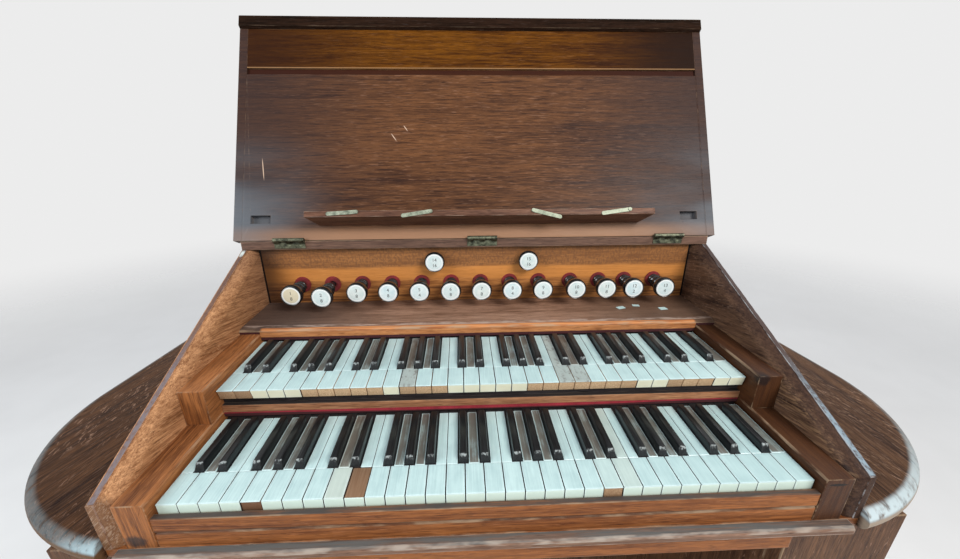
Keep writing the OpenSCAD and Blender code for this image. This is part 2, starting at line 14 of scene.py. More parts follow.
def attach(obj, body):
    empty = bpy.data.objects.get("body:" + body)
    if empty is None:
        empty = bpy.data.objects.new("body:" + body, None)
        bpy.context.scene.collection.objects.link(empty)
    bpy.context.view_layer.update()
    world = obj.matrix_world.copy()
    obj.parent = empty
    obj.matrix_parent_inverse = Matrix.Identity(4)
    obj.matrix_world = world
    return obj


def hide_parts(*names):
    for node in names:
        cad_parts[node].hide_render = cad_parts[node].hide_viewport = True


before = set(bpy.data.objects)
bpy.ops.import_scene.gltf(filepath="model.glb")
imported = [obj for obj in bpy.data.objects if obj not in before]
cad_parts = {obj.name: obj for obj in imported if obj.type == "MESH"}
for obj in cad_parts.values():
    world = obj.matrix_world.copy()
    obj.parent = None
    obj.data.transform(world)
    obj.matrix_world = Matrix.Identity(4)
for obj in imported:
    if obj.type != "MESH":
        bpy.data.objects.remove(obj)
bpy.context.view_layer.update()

# Sizes shared with the solids, in millimetres
NATURALS = 33
KEY_PITCH = 23.5
KEY_GAP = 0.9
HEAD_LENGTH = 46
LEVER_LENGTH = 330
LEVER_DEPTH = 17
SHARP_WIDTH = 12.5
SHARP_HEIGHT = 10
SHARP_SLOPE = 5
SHARP_TOP_SHARE = 0.68
SHARP_SHIFTS = (-2.21, 2.21, 0, -3.01, 0, 3.01, 0)
OCTAVE = 7
LOWER_LEVEL = 890
UPPER_LEVEL = 942
UPPER_SETBACK = 143
MIDDLE_DEPTH = 310.5
STOP_SHELF_TOP = 965.5
STOP_HEIGHTS = (1004.5, 1051.5)
STOP_PITCH = 58.9
STOP_SHIFT = 2
STOP_NUDGES = {10: 5.5, 11: 5.5, 13: 2, 14: -1.5, 15: 5}
JAMB_FRONT = 412
HINGE_SHIFT = 5
HINGE_SPREAD = 364
LID_LEAN = radians(25.7)
LID_PIN = (0, 396.072, 1098.445)


def at(x, y, z):
    return Vector((x, y - MIDDLE_DEPTH, z)) / 1000


def on_lid(x, y, z):
    """A place in the open lid's own frame: y into its thickness, z up along it from the pins."""
    return at(x, LID_PIN[1] + y * cos(LID_LEAN) + z * sin(LID_LEAN),
              LID_PIN[2] - y * sin(LID_LEAN) + z * cos(LID_LEAN))


def add(name, data):
    """A new object in the scene."""
    piece = bpy.data.objects.new(name, data)
    bpy.context.scene.collection.objects.link(piece)
    return piece


# Camera, at the photograph's angle

camera = add("camera", bpy.data.cameras.new("camera"))
camera.data.sensor_width = 36
camera.data.lens = 15.03
camera.data.shift_x = 0.0019
camera.data.shift_y = 0.0086
camera.data.clip_start = 0.02
camera.location = at(-35, -353, 1280)
pan, tilt, roll = radians(-2.44), radians(69.28), radians(-0.14)
aim = Matrix.Rotation(pan, 4, "Z") @ Matrix.Rotation(tilt, 4, "X")
camera.rotation_euler = (aim @ Matrix.Rotation(roll, 4, "Z")).to_euler()
bpy.context.scene.camera = camera
bpy.context.scene.view_settings.view_transform = "Standard"


# Materials

class Wire:
    """A node's output. Arithmetic on it adds Math nodes, and make() adds any other node."""

    def __init__(self, tree, output=None):
        self.tree = tree
        self.output = output

    def feed(self, node, name, value):
        """Gives a node's input a value or another node's output."""
        if isinstance(value, Wire):
            self.tree.links.new(value.output, node.inputs[name])
        else:
            node.inputs[name].default_value = value

    def make(self, kind, inputs, result=0, stops=None, **settings):
        node = self.tree.nodes.new(kind)
        for name, value in settings.items():
            setattr(node, name, value)
        if stops:
            ramp = node.color_ramp
            for place, _ in stops[2:]:
                ramp.elements.new(place)
            for element, (place, colour) in zip(ramp.elements, stops):
                element.position = place
                element.color = (*colour, 1)
        for name, value in inputs.items():
            self.feed(node, name, value)
        return Wire(self.tree, node.outputs[result])

    def math(self, operation, first, second=0.0):
        return self.make("ShaderNodeMath", {0: first, 1: second}, operation=operation)

    def __add__(self, other):
        return self.math("ADD", self, other)

    __radd__ = __add__

    def __sub__(self, other):
        return self.math("SUBTRACT", self, other)

    def __rsub__(self, other):
        return self.math("SUBTRACT", other, self)

    def __mul__(self, other):
        return self.math("MULTIPLY", self, other)

    __rmul__ = __mul__

    def __abs__(self):
        return self.math("ABSOLUTE", self)

    def larger(self, other):
        return self.math("MAXIMUM", self, other)

    def root(self):
        return self.math("SQRT", self)

    def between(self, low, high):
        """0 below low, 1 above high and a smooth step from one to the other."""
        return self.make("ShaderNodeMapRange", {"Value": self, "From Min": low, "From Max": high},
                         interpolation_type="SMOOTHSTEP")

    def ramp(self, *stops):
        return self.make("ShaderNodeValToRGB", {"Fac": self}, stops=stops)

    def band(self, low, high, soft):
        """1 between two values, fading out over a soft distance either side."""
        return self.between(low - soft, low + soft) * (1 - self.between(high - soft, high + soft))

    def part(self, axis):
        return self.make("ShaderNodeSeparateXYZ", {0: self}, axis)

    def length(self):
        return self.make("ShaderNodeVectorMath", {0: self}, "Value", operation="LENGTH")

    def mix(self, mask, under, over):
        """One colour over another by a mask. The node's colour sockets go by number."""
        return self.make("ShaderNodeMix", {0: mask, 6: under, 7: over}, 2, data_type="RGBA")


GRAIN = {"x": (0, 0, 0), "y": (0, 0, pi / 2), "z": (0, pi / 2, 0)}
# How far each new material's patterns are moved, and the distance after which that starts again
PATTERN_STEPS = (0.37, 0.61, 0.23)
PATTERN_SPAN = 1.7


class Finish(Wire):
    """A material whose patterns read Object coordinates, turned so that X runs with the grain."""
    made = 0

    def __init__(self, name, grain="x"):
        Finish.made += 1
        self.material = bpy.data.materials.new(name)
        self.material.use_nodes = True
        super().__init__(self.material.node_tree)
        self.shader = self.tree.nodes["Principled BSDF"]
        self.turn = GRAIN.get(grain, grain)
        self.shift = [Finish.made * step % PATTERN_SPAN for step in PATTERN_STEPS]
        self.places = self.make("ShaderNodeTexCoord", {}, "Object")

    def along(self, axis):
        return self.places.part(axis)

    def mapped(self, size, origin=None, turn=None):
        """Object coordinates seen from an origin and counted in a feature's size on each axis."""
        return self.make("ShaderNodeMapping", {
            "Vector": self.places, "Location": self.shift if origin is None else origin,
            "Rotation": self.turn if turn is None else turn, "Scale": size},
            vector_type="TEXTURE")

    def noise(self, size, detail=2.0, roughness=0.5, distortion=0.0, turn=None):
        return self.make("ShaderNodeTexNoise", {
            "Vector": self.mapped(size, turn=turn), "Scale": 1.0, "Detail": detail,
            "Roughness": roughness, "Distortion": distortion})

    def spot(self, origin, size, turn=(0, 0, 0), soft=0.5, rough=0.0):
        """1 inside an ellipsoid round a place, fading from soft to its edge, rough in outline."""
        away = self.mapped(size, origin, turn).length()
        if rough:
            away = away + (self.noise((0.01, 0.01, 0.01), 3, 0.6) - 0.5) * rough
        return 1 - away.between(soft, 1)

    def attribute(self, name):
        return self.make("ShaderNodeAttribute", {}, "Fac", attribute_name=name)

    def paint(self, under, colour, mask):
        return self.mix(mask, under, (*colour, 1))

    def finish(self, colour, roughness, height=None, relief=0.0004, strength=0.5, **fixed):
        inputs = {"Base Color": colour, "Roughness": roughness, **fixed}
        if height is not None:
            inputs["Normal"] = self.make("ShaderNodeBump", {
                "Height": height, "Distance": relief, "Strength": strength})
        for name, value in inputs.items():
            self.feed(self.shader, name.replace("_", " "), value)
        return self.material


def oak(name, dark, mid, light, grain="x", fleck=0.0, worn=(0.42, 0.3, 0.19), wear=0.5,
        shine=0.05, rough=0.5, streak=1.0, dashes=0.25, gloss=0.2, extra=None):
    """Oak with growth bands, fine streaks, pores and ray flecks, rubbed paler along its edges."""
    wood = Finish(name, grain)
    bands = wood.noise((0.55, 0.03, 0.03), 4, 0.62, 0.5)
    streaks = wood.noise((0.07, 0.0038, 0.0038), 3, 0.65, 0.1)
    fine = wood.noise((0.03, 0.0016, 0.0016), 2, 0.6)
    tone = (bands - 0.5) * 0.7 + (streaks - 0.5) * (0.7 * streak) + (fine - 0.5) * (0.4 * streak)
    colour = (tone + 0.5).ramp((0.3, dark), (0.72, light), (0.5, mid))
    pores = wood.noise((0.018, 0.0009, 0.0009), 1).between(0.58, 0.7)
    colour = wood.paint(colour, [c * 0.35 for c in dark], pores * 0.6)
    if dashes:
        short = wood.noise((0.022, 0.0018, 0.0018), 2, 0.5, 0.2).between(0.6, 0.7)
        colour = wood.paint(colour, [min(1, c * 1.25 + 0.04) for c in light], short * dashes)
    if fleck:
        tilt = (wood.turn[0], wood.turn[1], wood.turn[2] + 0.42)
        rays = wood.noise((0.013, 0.003, 0.003), 2, 0.55, 0.6, turn=tilt).between(0.6, 0.68)
        field = wood.noise((0.16, 0.05, 0.05), 1).between(0.42, 0.6)
        colour = wood.paint(colour, [min(1, c * 1.5 + 0.05) for c in light], rays * field * fleck)
    if extra:
        colour = extra(wood, colour)
    edge = wood.attribute("wear") + (wood.noise((0.05, 0.012, 0.012), 3, 0.6) - 0.5) * 1.3
    rubbed = edge.between(0.85, 1.2) * wear
    colour = wood.paint(colour, worn, rubbed)
    roughness = rough + (streaks - 0.5) * 0.25 + (bands - 0.5) * 0.2 + rubbed * 0.15
    height = streaks * 0.5 + fine * 0.5 - pores * 0.6
    return wood.finish(colour, roughness, height, Coat_Weight=shine, Coat_Roughness=0.25,
                       Specular_IOR_Level=gloss)


def scratch(wood, colour, place, length, turn):
    """A pale scratch of a length in millimetres, up along the wood before its turn."""
    mask = wood.spot(place, (0.0011, 0.004, length / 2000), turn, 0.6)
    return wood.paint(colour, (0.6, 0.42, 0.3), mask * 0.85)


# Modelling helpers

def deselect():
    bpy.ops.object.select_all(action="DESELECT")


def pick(piece):
    """Selects one piece and makes it active."""
    deselect()
    piece.select_set(True)
    bpy.context.view_layer.objects.active = piece


def edit(piece, mode="VERT"):
    """Opens a piece in edit mode with nothing selected."""
    pick(piece)
    bpy.ops.object.mode_set(mode="EDIT")
    bpy.ops.mesh.select_mode(type=mode)
    bpy.ops.mesh.select_all(action="DESELECT")


def done():
    bpy.ops.object.mode_set(mode="OBJECT")


def edit_where(piece, chosen):
    """Opens a piece in edit mode with the vertices selected whose place is chosen."""
    edit(piece)
    done()
    for vertex in piece.data.vertices:
        vertex.select = chosen(vertex.co)
    bpy.ops.object.mode_set(mode="EDIT")


def modify(piece, kind, **settings):
    """Adds a modifier and applies it."""
    pick(piece)
    modifier = piece.modifiers.new(kind.lower(), kind)
    for name, value in settings.items():
        setattr(modifier, name, value)
    bpy.ops.object.modifier_apply(modifier=modifier.name)


def settle(piece):
    """Puts a piece's place into its mesh."""
    pick(piece)
    bpy.ops.object.transform_apply(location=True, rotation=True, scale=True)


def smooth(piece, degrees=35):
    """Shades a piece smooth, but for the edges sharper than an angle."""
    pick(piece)
    bpy.ops.object.shade_smooth_by_angle(angle=radians(degrees))


def cube(name, low, high):
    """A cube primitive between two corners, with its place in its mesh."""
    deselect()
    bpy.ops.mesh.primitive_cube_add(size=1, location=(low + high) / 2, scale=high - low)
    piece = bpy.context.object
    piece.name = name
    settle(piece)
    return piece


def block(name, low, high):
    """A cube between two corners in millimetres."""
    return cube(name, at(*low), at(*high))


def ease(piece, width, segments=2):
    """Rounds a piece's edges by a width in millimetres."""
    modify(piece, "BEVEL", width=width / 1000, segments=segments, limit_method="ANGLE",
           angle_limit=radians(30), use_clamp_overlap=True)


def mark(piece, name, value):
    """Gives a whole piece one value of a mesh attribute, or one value a vertex."""
    count = len(piece.data.vertices)
    found = piece.data.attributes.get(name) or piece.data.attributes.new(name, "FLOAT", "POINT")
    found.data.foreach_set("value", value if hasattr(value, "__len__") else [value] * count)


def rim(piece, width):
    """Insets each wide face, and marks all but the inner vertices as an edge that takes wear."""
    edit(piece, "FACE")
    done()
    for face in piece.data.polygons:
        corners = [piece.data.vertices[i].co for i in face.vertices]
        outline = sum((a - b).length for a, b in zip(corners, corners[1:] + corners[:1]))
        face.select = 2 * face.area > 2.2 * width / 1000 * outline
    bpy.ops.object.mode_set(mode="EDIT")
    bpy.ops.mesh.inset(thickness=width / 1000, use_individual=True)
    done()
    inner = {v for face in piece.data.polygons if face.select for v in face.vertices}
    mark(piece, "wear", [0.0 if i in inner else 1.0 for i in range(len(piece.data.vertices))])


def keep(piece, finish, body="console", nodes=()):
    """Gives a finished piece its material, its body and the solids it stands for."""
    piece.data.materials.clear()
    piece.data.materials.append(finish)
    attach(piece, body)
    if nodes:
        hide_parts(*nodes)
    return piece


def solid_copy(node, name):
    """A merged copy of a plain solid, with its flat faces whole again."""
    piece = add(name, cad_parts[node].data.copy())
    pick(piece)
    if piece.data.has_custom_normals:
        bpy.ops.mesh.customdata_custom_splitnormals_clear()
    edit(piece)
    bpy.ops.mesh.select_all(action="SELECT")
    bpy.ops.mesh.remove_doubles(threshold=0.00002)
    bpy.ops.mesh.dissolve_limited(angle_limit=radians(1))
    done()
    return piece


def board(node, finish, body="console", round_by=1.2, rim_width=4):
    """A sawn board: the solid's shape with eased edges and rubbed rims."""
    piece = solid_copy(node, node + "_board")
    ease(piece, round_by)
    rim(piece, rim_width)
    smooth(piece)
    return keep(piece, finish, body, [node])


def copies(master, places):
    """Copies of a piece, each moved by its own step in millimetres, and the piece removed."""
    made = []
    for step in places:
        piece = add(master.name + "_copy", master.data.copy())
        piece.data.transform(Matrix.Translation(Vector(step) / 1000))
        made.append(piece)
    bpy.data.objects.remove(master)
    return made


def join(name, pieces):
    """Makes one piece of several, under a name of its own."""
    deselect()
    for piece in pieces:
        piece.select_set(True)
    bpy.context.view_layer.objects.active = pieces[0]
    bpy.ops.object.join()
    pieces[0].name = name
    return pieces[0]


def turned(name, outline, steps=48):
    """Spins an outline of radii and heights, in millimetres, about the Z axis."""
    points = [Vector((radius, 0, height)) / 1000 for radius, height in outline]
    deselect()
    bpy.ops.mesh.primitive_plane_add(size=0.001)
    piece = bpy.context.object
    piece.name = name
    edit(piece)
    bpy.ops.mesh.select_all(action="SELECT")
    bpy.ops.mesh.merge(type="CENTER")
    bpy.ops.transform.translate(value=points[0])
    for last, point in zip(points, points[1:]):
        bpy.ops.mesh.extrude_region_move(TRANSFORM_OT_translate={"value": point - last})
    bpy.ops.mesh.select_all(action="SELECT")
    bpy.ops.mesh.spin(steps=steps, angle=2 * pi, center=(0, 0, 0), axis=(0, 0, 1))
    bpy.ops.mesh.select_all(action="SELECT")
    bpy.ops.mesh.remove_doubles(threshold=0.00001)
    bpy.ops.mesh.normals_make_consistent(inside=False)
    done()
    return piece


# Studio

def lamp(name, place, target, size, power, colour=(1, 1, 1)):
    """A rectangular light that faces a target."""
    light = bpy.data.lights.new(name, "AREA")
    light.shape = "RECTANGLE"
    light.size, light.size_y = size
    light.energy = power
    light.color = colour
    holder = add(name, light)
    holder.location = place
    holder.rotation_euler = (Vector(target) - Vector(place)).to_track_quat("-Z", "Y").to_euler()


def studio():
    """A pale floor that fades out, an even sky and three lights."""
    deselect()
    bpy.ops.mesh.primitive_plane_add(size=14)
    floor = bpy.context.object
    floor.name = "studio_floor"
    finish = Finish("pale floor")
    mottle = finish.noise((0.4, 0.4, 0.4), 3)
    colour = mottle.ramp((0.3, (0.72, 0.71, 0.69)), (0.7, (0.78, 0.77, 0.75)))
    fade = 1 - finish.places.length().between(1.6, 6)
    finish.feed(finish.shader, "Alpha", fade)
    floor.data.materials.append(finish.finish(colour, 0.8))
    world = bpy.data.worlds.new("studio")
    bpy.context.scene.world = world
    world.use_nodes = True
    sky = Wire(world.node_tree)
    camera_ray, glossy_ray, passing_ray = [
        sky.make("ShaderNodeLightPath", {}, "Is %s Ray" % kind)
        for kind in ("Camera", "Glossy", "Transmission")]
    seen = camera_ray.larger(glossy_ray.larger(passing_ray))
    shown = sky.mix(seen, (0.42, 0.45, 0.5, 1), (0.84, 0.84, 0.84, 1))
    sky.feed(world.node_tree.nodes["Background"], "Color", shown)
    lamp("key_light", (1.6, -2.2, 3.0), (0, 0, 0.95), (1.6, 1.2), 95, (1, 0.97, 0.93))
    lamp("fill_light", (-2.6, -1.6, 2.2), (0, 0, 0.95), (1.8, 1.6), 60, (0.9, 0.96, 1))
    lamp("back_light", (0.5, 2.6, 2.6), (0, 0.2, 1.0), (2.2, 1.2), 45)


studio()


# Case

# Where the case's finishes change, in metres: each pair is where a fade starts and ends
CHEEK_FRONT = (-0.3205, -0.3195)
CHEEK_NOSE = (-0.3195, -0.308)
CHEEK_ROUND = (0.4252, 0.436)
CHEEK_STRIP = (0.4423, 0.4489)
CHEEK_LOWER_HALF = (0.93, 0.99)
BLOCK_FRONT = (-0.3209, -0.3205)
UPPER_BLOCK_FRONT = (-0.19, -0.1878)
UPPER_BLOCK_FOOT = (0.9012, 0.9016)
STOP_SHELF_NOSE = (-0.015, -0.0125)
STOP_SHELF_LINE = (-0.0125, -0.004)
STOP_SHELF_ENDS = (0.385, 0.391)
JAMB_TOP = (1.034, 1.042)
JAMB_MIDDLE = (1.01, 1.036)
JAMB_FOOT = (0.99, 1.012)
JAMB_JOINT = (0.4212, 0.422)
SIDE_SHELF_TOP = (0.841, 0.846)
SLIP_TOP = (0.8782, 0.8786)
SLIP_GROOVE = (0.856, 0.8605)
MOULDING_TOP = (0.8345, 0.8362)
MANUAL_RAIL_TOP = (0.9112, 0.9119)
MANUAL_RAIL_FRONT = (-0.1602, -0.1596)
# A cheek is worn from here outwards, on its flat strip
CHEEK_WEAR_FROM = 0.4418
# The rounded front of a side shelf: its centre to the side and forwards of the model's middle,
# and how far from there its edge begins, above and below
SHELF_TURN = (0.4, 0.0535)
SHELF_EDGE_ABOVE = (0.269, 0.276)
SHELF_EDGE_BELOW = (0.272, 0.28)
SHELF_TAPER = radians(5.45)
SHELF_FRONT = -0.335


def jamb_end_shade(wood, colour):
    """Paints shade on a cheek's wood towards the stop jamb, and makes it brown with pale rays at
    its front.
    """
    y = wood.along("Y")
    # Painted shade, grey-brown, towards the stop jamb under the hinge rail
    colour = wood.paint(colour, (0.09, 0.05, 0.04), y.between(-0.05, 0.12) * 0.45)
    nose = 1 - y.between(*CHEEK_NOSE)
    rays = wood.noise((0.016, 0.0013, 0.0013), 2, turn=(0, -0.75, 0)).between(0.52, 0.62)
    colour = wood.paint(colour, (0.1, 0.046, 0.024), nose * 0.75)
    return wood.paint(colour, (0.36, 0.25, 0.17), nose * rays * 0.6)


def lower_streaks(wood, colour):
    """Lays tan streaks on a cheek's lower half, and paints shade on its rounded edge."""
    low = 1 - wood.along("Z").between(*CHEEK_LOWER_HALF)
    streaks = wood.noise((0.05, 0.0028, 0.0028), 3, 0.6).between(0.5, 0.62)
    rounded = abs(wood.along("X")).between(*CHEEK_ROUND)
    # Painted shade on the rounded edge next to the flat strip
    colour = wood.paint(colour, (0.022, 0.01, 0.008), rounded * 0.6)
    return wood.paint(colour, (0.3, 0.17, 0.09), low * streaks * (1 - rounded) * 0.6)


def edge_strip(inside, dull, pale, reach):
    """Finishes a cheek's inside, then its flat strip: dull, with a pale painted sheen as far as a
    reach and a painted glint at its top end.
    """
    def extra(wood, colour):
        colour = inside(wood, colour)
        y = wood.along("Y")
        strip = abs(wood.along("X")).band(*CHEEK_STRIP, 0.0003) * y.between(*CHEEK_FRONT)
        cloud = wood.noise((0.06, 0.004, 0.004), 3, 0.6)
        colour = wood.paint(colour, dull, strip * 0.8)
        # Painted sheen: the glossy strip's reflection, pale from the front as far as the reach
        near = 1 - y.between(reach - 0.06, reach + 0.06)
        colour = wood.paint(colour, pale, strip * near * cloud.between(0.25, 0.6) * 0.9)
        # Painted glint at the strip's top end, by the hinge rail
        end = wood.spot(at(-446, 389, 1086), (0.012, 0.014, 0.02), rough=0.5)
        return wood.paint(colour, (0.62, 0.68, 0.64), end * strip)
    return extra


along_slope = (0, 0.2, pi / 2)
# The cheeks' oak: the left one's colours are painted lighter as painted light, the right one's
# darker as painted shade, and each edge strip's paler colour is a painted sheen
left_cheek_lit_oak = oak(
    "left cheek oak, painted light", (0.22, 0.088, 0.034), (0.5, 0.225, 0.095), (0.68, 0.35, 0.165), along_slope,
    fleck=0.3, worn=(0.5, 0.36, 0.3), gloss=0.12,
    extra=edge_strip(jamb_end_shade, (0.1, 0.062, 0.058), (0.2, 0.17, 0.18), -0.12))
right_cheek_shaded_oak = oak(
    "right cheek oak, painted shade", (0.025, 0.013, 0.01), (0.07, 0.036, 0.025), (0.16, 0.085, 0.05),
    along_slope, fleck=0.4, worn=(0.5, 0.5, 0.5), wear=0.7, gloss=0.1,
    extra=edge_strip(lower_streaks, (0.09, 0.065, 0.06), (0.27, 0.35, 0.4), -0.2))
panel_oak = oak("panel oak", (0.04, 0.017, 0.009), (0.1, 0.045, 0.023), (0.17, 0.085, 0.045), "z",
                fleck=0.5, gloss=0.12)


def block_marks(wood, colour):
    """Upright streaks on the blocks' fronts, painted shade at the right, with two dark patches and
    a slot.
    """
    y, z = wood.along("Y"), wood.along("Z")
    upper = y.band(*UPPER_BLOCK_FRONT, 0.0002) * z.between(*UPPER_BLOCK_FOOT)
    front = (1 - y.between(*BLOCK_FRONT)).larger(upper)
    upright = wood.noise((0.06, 0.003, 0.003), 3, 0.6, 0.3, turn=GRAIN["z"])
    streaked = upright.ramp((0.32, (0.06, 0.018, 0.008)), (0.7, (0.42, 0.155, 0.045)),
                            (0.5, (0.17, 0.05, 0.016)))
    colour = wood.mix(front * 0.85, colour, streaked)
    # Painted shade over the blocks at the right
    right = wood.along("X").between(-0.2, 0.4) * 0.84
    colour = wood.paint(colour, (0.022, 0.008, 0.004), right)
    patch = wood.spot(at(-411, -11, 848), (0.015, 0.01, 0.012), rough=0.8)
    colour = wood.paint(colour, (0.03, 0.026, 0.026), patch * 0.85)
    slot = wood.spot(at(406, -11, 893), (0.013, 0.01, 0.0022), soft=0.7)
    colour = wood.paint(colour, (0.008, 0.006, 0.006), slot)
    corner = wood.spot(at(397, 122, 950), (0.012, 0.02, 0.012), rough=0.8)
    return wood.paint(colour, (0.012, 0.008, 0.008), corner * 0.8)


def stop_shelf_tones(wood, colour):
    """Charcoal at the left, brown at the right, a pale line along the front and an orange nose."""
    x = wood.along("X")
    colour = wood.paint(colour, (0.035, 0.03, 0.03), (1 - x.between(-0.36, -0.12)) * 0.75)
    colour = wood.paint(colour, (0.075, 0.045, 0.03), x.between(0.12, 0.34) * 0.75)
    y = wood.along("Y")
    rough = wood.noise((0.03, 0.006, 0.006), 3, 0.6).between(0.4, 0.62)
    colour = wood.paint(colour, (0.52, 0.4, 0.33), y.band(*STOP_SHELF_LINE, 0.002) * rough * 0.6)
    nose = (1 - y.between(*STOP_SHELF_NOSE)) * (1 - abs(x).between(*STOP_SHELF_ENDS))
    streaks = wood.noise((0.09, 0.0035, 0.0035), 3, 0.6).between(0.3, 0.7)
    colour = wood.paint(colour, (0.3, 0.1, 0.035), nose)
    return wood.paint(colour, (0.68, 0.28, 0.1), nose * streaks)


def jamb_bands(wood, colour):
    """Brown above, an orange band in the middle, dark streaks below, a painted shadow at the left
    end and a joint at each end.
    """
    rise = wood.along("Z") + (wood.noise((0.2, 0.02, 0.02), 2) - 0.5) * 0.02
    hatch = wood.noise((0.004, 0.02, 0.006), 2).between(0.45, 0.6)
    top = rise.between(*JAMB_TOP) * (0.5 + hatch * 0.3)
    colour = wood.paint(colour, (0.16, 0.07, 0.03), top)
    colour = wood.paint(colour, (0.66, 0.26, 0.06), rise.band(*JAMB_MIDDLE, 0.004) * 0.6)
    streaks = wood.noise((0.1, 0.003, 0.003), 3, 0.6).between(0.45, 0.62)
    foot = 1 - rise.between(*JAMB_FOOT)
    colour = wood.paint(colour, (0.1, 0.035, 0.015), foot * streaks * 0.8)
    # Painted shadow at the jamb's left end, in its corner with the cheek
    left = 1 - wood.along("X").between(-0.42, -0.36)
    colour = wood.paint(colour, (0.03, 0.015, 0.01), left * 0.8)
    joint = abs(wood.along("X")).between(*JAMB_JOINT)
    return wood.paint(colour, (0.004, 0.003, 0.003), joint)


def worn_nose(side, pale, under, depth):
    """Paints a pale reflection on a side shelf's rounded edge above, most of all at its front, and
    tan below.
    """
    def extra(wood, colour):
        x = wood.along("X") * side - SHELF_TURN[0]
        y = wood.along("Y") + SHELF_TURN[1]
        round_front = (x * x + y * y).root()
        straight_side = x * cos(SHELF_TAPER) + y * sin(SHELF_TAPER)
        reach = round_front + (straight_side - round_front) * y.between(-0.002, 0.002)
        rough = wood.noise((0.05, 0.01, 0.01), 3, 0.6).between(0.2, 0.55)
        front = 1 - wood.along("Y").between(SHELF_FRONT, depth) * 0.8
        above = wood.along("Z").between(*SIDE_SHELF_TOP)
        below = reach.between(*SHELF_EDGE_BELOW) * (1 - above)
        colour = wood.paint(colour, under, below * 0.7)
        # Painted reflection along the top of the rounded edge
        edge = reach.between(*SHELF_EDGE_ABOVE) * above
        return wood.paint(colour, pale, edge * rough * front * 0.85)
    return extra


def slip_tones(wood, colour):
    """Dull grey on the key slip's top and a dark band of painted shade along its groove."""
    z = wood.along("Z")
    top = z.between(*SLIP_TOP)
    cloud = wood.noise((0.1, 0.006, 0.006), 3, 0.6).between(0.3, 0.6)
    colour = wood.paint(colour, (0.055, 0.05, 0.047), top * (0.45 + cloud * 0.5))
    # Painted shade along the groove
    groove = z.band(*SLIP_GROOVE, 0.0012) * (1 - top)
    return wood.paint(colour, (0.03, 0.012, 0.007), groove * 0.75)


def moulding_tones(wood, colour):
    """Grey-green patches on the front moulding's top."""
    top = wood.along("Z").between(*MOULDING_TOP)
    cloud = wood.noise((0.14, 0.008, 0.008), 3, 0.6).between(0.35, 0.6)
    return wood.paint(colour, (0.11, 0.125, 0.125), top * (0.25 + cloud * 0.6))


def dark_top(wood, colour):
    """Darkens the top of the rail between the manuals with painted shade, to match the shadowed
    band behind it.
    """
    top = wood.along("Z").between(*MANUAL_RAIL_TOP)
    return wood.paint(colour, (0.03, 0.025, 0.024),
                      top * wood.along("Y").between(*MANUAL_RAIL_FRONT))


block_oak = oak("block oak", (0.12, 0.038, 0.013), (0.29, 0.1, 0.033), (0.44, 0.17, 0.055), "y",
                extra=block_marks)
front_oak = oak("front oak", (0.1, 0.028, 0.008), (0.22, 0.066, 0.017), (0.35, 0.125, 0.036),
                extra=slip_tones)
manual_rail_oak = oak("manual rail oak", (0.13, 0.046, 0.022), (0.31, 0.13, 0.06),
                      (0.48, 0.23, 0.11), wear=0.3, extra=dark_top)
moulding_oak = oak("moulding oak", (0.075, 0.036, 0.022), (0.15, 0.07, 0.04),
                   (0.25, 0.14, 0.09), worn=(0.4, 0.34, 0.28), wear=0.75,
                   extra=moulding_tones)
rail_oak = oak("hinge rail oak", (0.06, 0.033, 0.024), (0.13, 0.07, 0.048), (0.2, 0.11, 0.075))
shelf_board_oak = oak("stop shelf oak", (0.15, 0.075, 0.045), (0.32, 0.165, 0.1),
                      (0.46, 0.27, 0.18), wear=0.7, extra=stop_shelf_tones)
stop_rail_oak = oak("stop rail oak", (0.24, 0.075, 0.025), (0.46, 0.17, 0.06), (0.62, 0.27, 0.1),
                    wear=0.3)
jamb_wood = oak("jamb oak", (0.2, 0.07, 0.02), (0.42, 0.15, 0.04), (0.6, 0.25, 0.07),
                streak=0.9, extra=jamb_bands)
# Each nose's first colour is a pale painted reflection, the second its tan below
side_shelf_oak = {
    "left_shelf": oak(
        "left shelf oak", (0.012, 0.004, 0.002), (0.036, 0.0135, 0.006), (0.11, 0.05, 0.022),
        (0, 0, 1.3), fleck=1.0, gloss=0.06, streak=1.4, dashes=0.5,
        extra=worn_nose(-1, (0.42, 0.56, 0.6), (0.16, 0.09, 0.045), -0.31)),
    "right_shelf": oak(
        "right shelf oak", (0.02, 0.0075, 0.004), (0.055, 0.023, 0.011), (0.13, 0.066, 0.034),
        "y", fleck=1.0, gloss=0.06, streak=1.2, dashes=0.6,
        extra=worn_nose(1, (0.56, 0.66, 0.68), (0.42, 0.34, 0.26), -0.15))}


def cheek(node, finish):
    """A cheek's board, worn along its flat strip only."""
    piece = board(node, finish, round_by=0.6, rim_width=2)
    rubbed = zip(piece.data.attributes["wear"].data, piece.data.vertices)
    mark(piece, "wear", [float(worn.value > 0 and abs(v.co.x) > CHEEK_WEAR_FROM)
                         for worn, v in rubbed])


cheek("left_cheek", left_cheek_lit_oak)
cheek("right_cheek", right_cheek_shaded_oak)
for node in ("top_board", "upper_back", "lower_back", "left_side", "right_side",
             "pedestal_fronts", "knee_sides", "knee_panel"):
    board(node, panel_oak)
for node in ("lower_key_blocks", "upper_key_blocks"):
    board(node, block_oak, round_by=0.8, rim_width=2)
for node, finish in (("deck", front_oak), ("key_slip", front_oak), ("apron_rail", front_oak),
                     ("front_moulding", moulding_oak), ("skirting", moulding_oak),
                     ("manual_rail", manual_rail_oak), ("stop_shelf", shelf_board_oak),
                     ("hinge_rail", rail_oak)):
    board(node, finish, round_by=0.8, rim_width=2)
board("stop_rail", stop_rail_oak, round_by=0.5, rim_width=1.5)


def dress(node, finish):
    """Gives a solid whose shape is right its finish."""
    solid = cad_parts[node]
    solid.data.materials.clear()
    solid.data.materials.append(finish)


for node, finish in side_shelf_oak.items():
    dress(node, finish)
dress("stop_jamb", jamb_wood)


# Felt, metal and plain wood

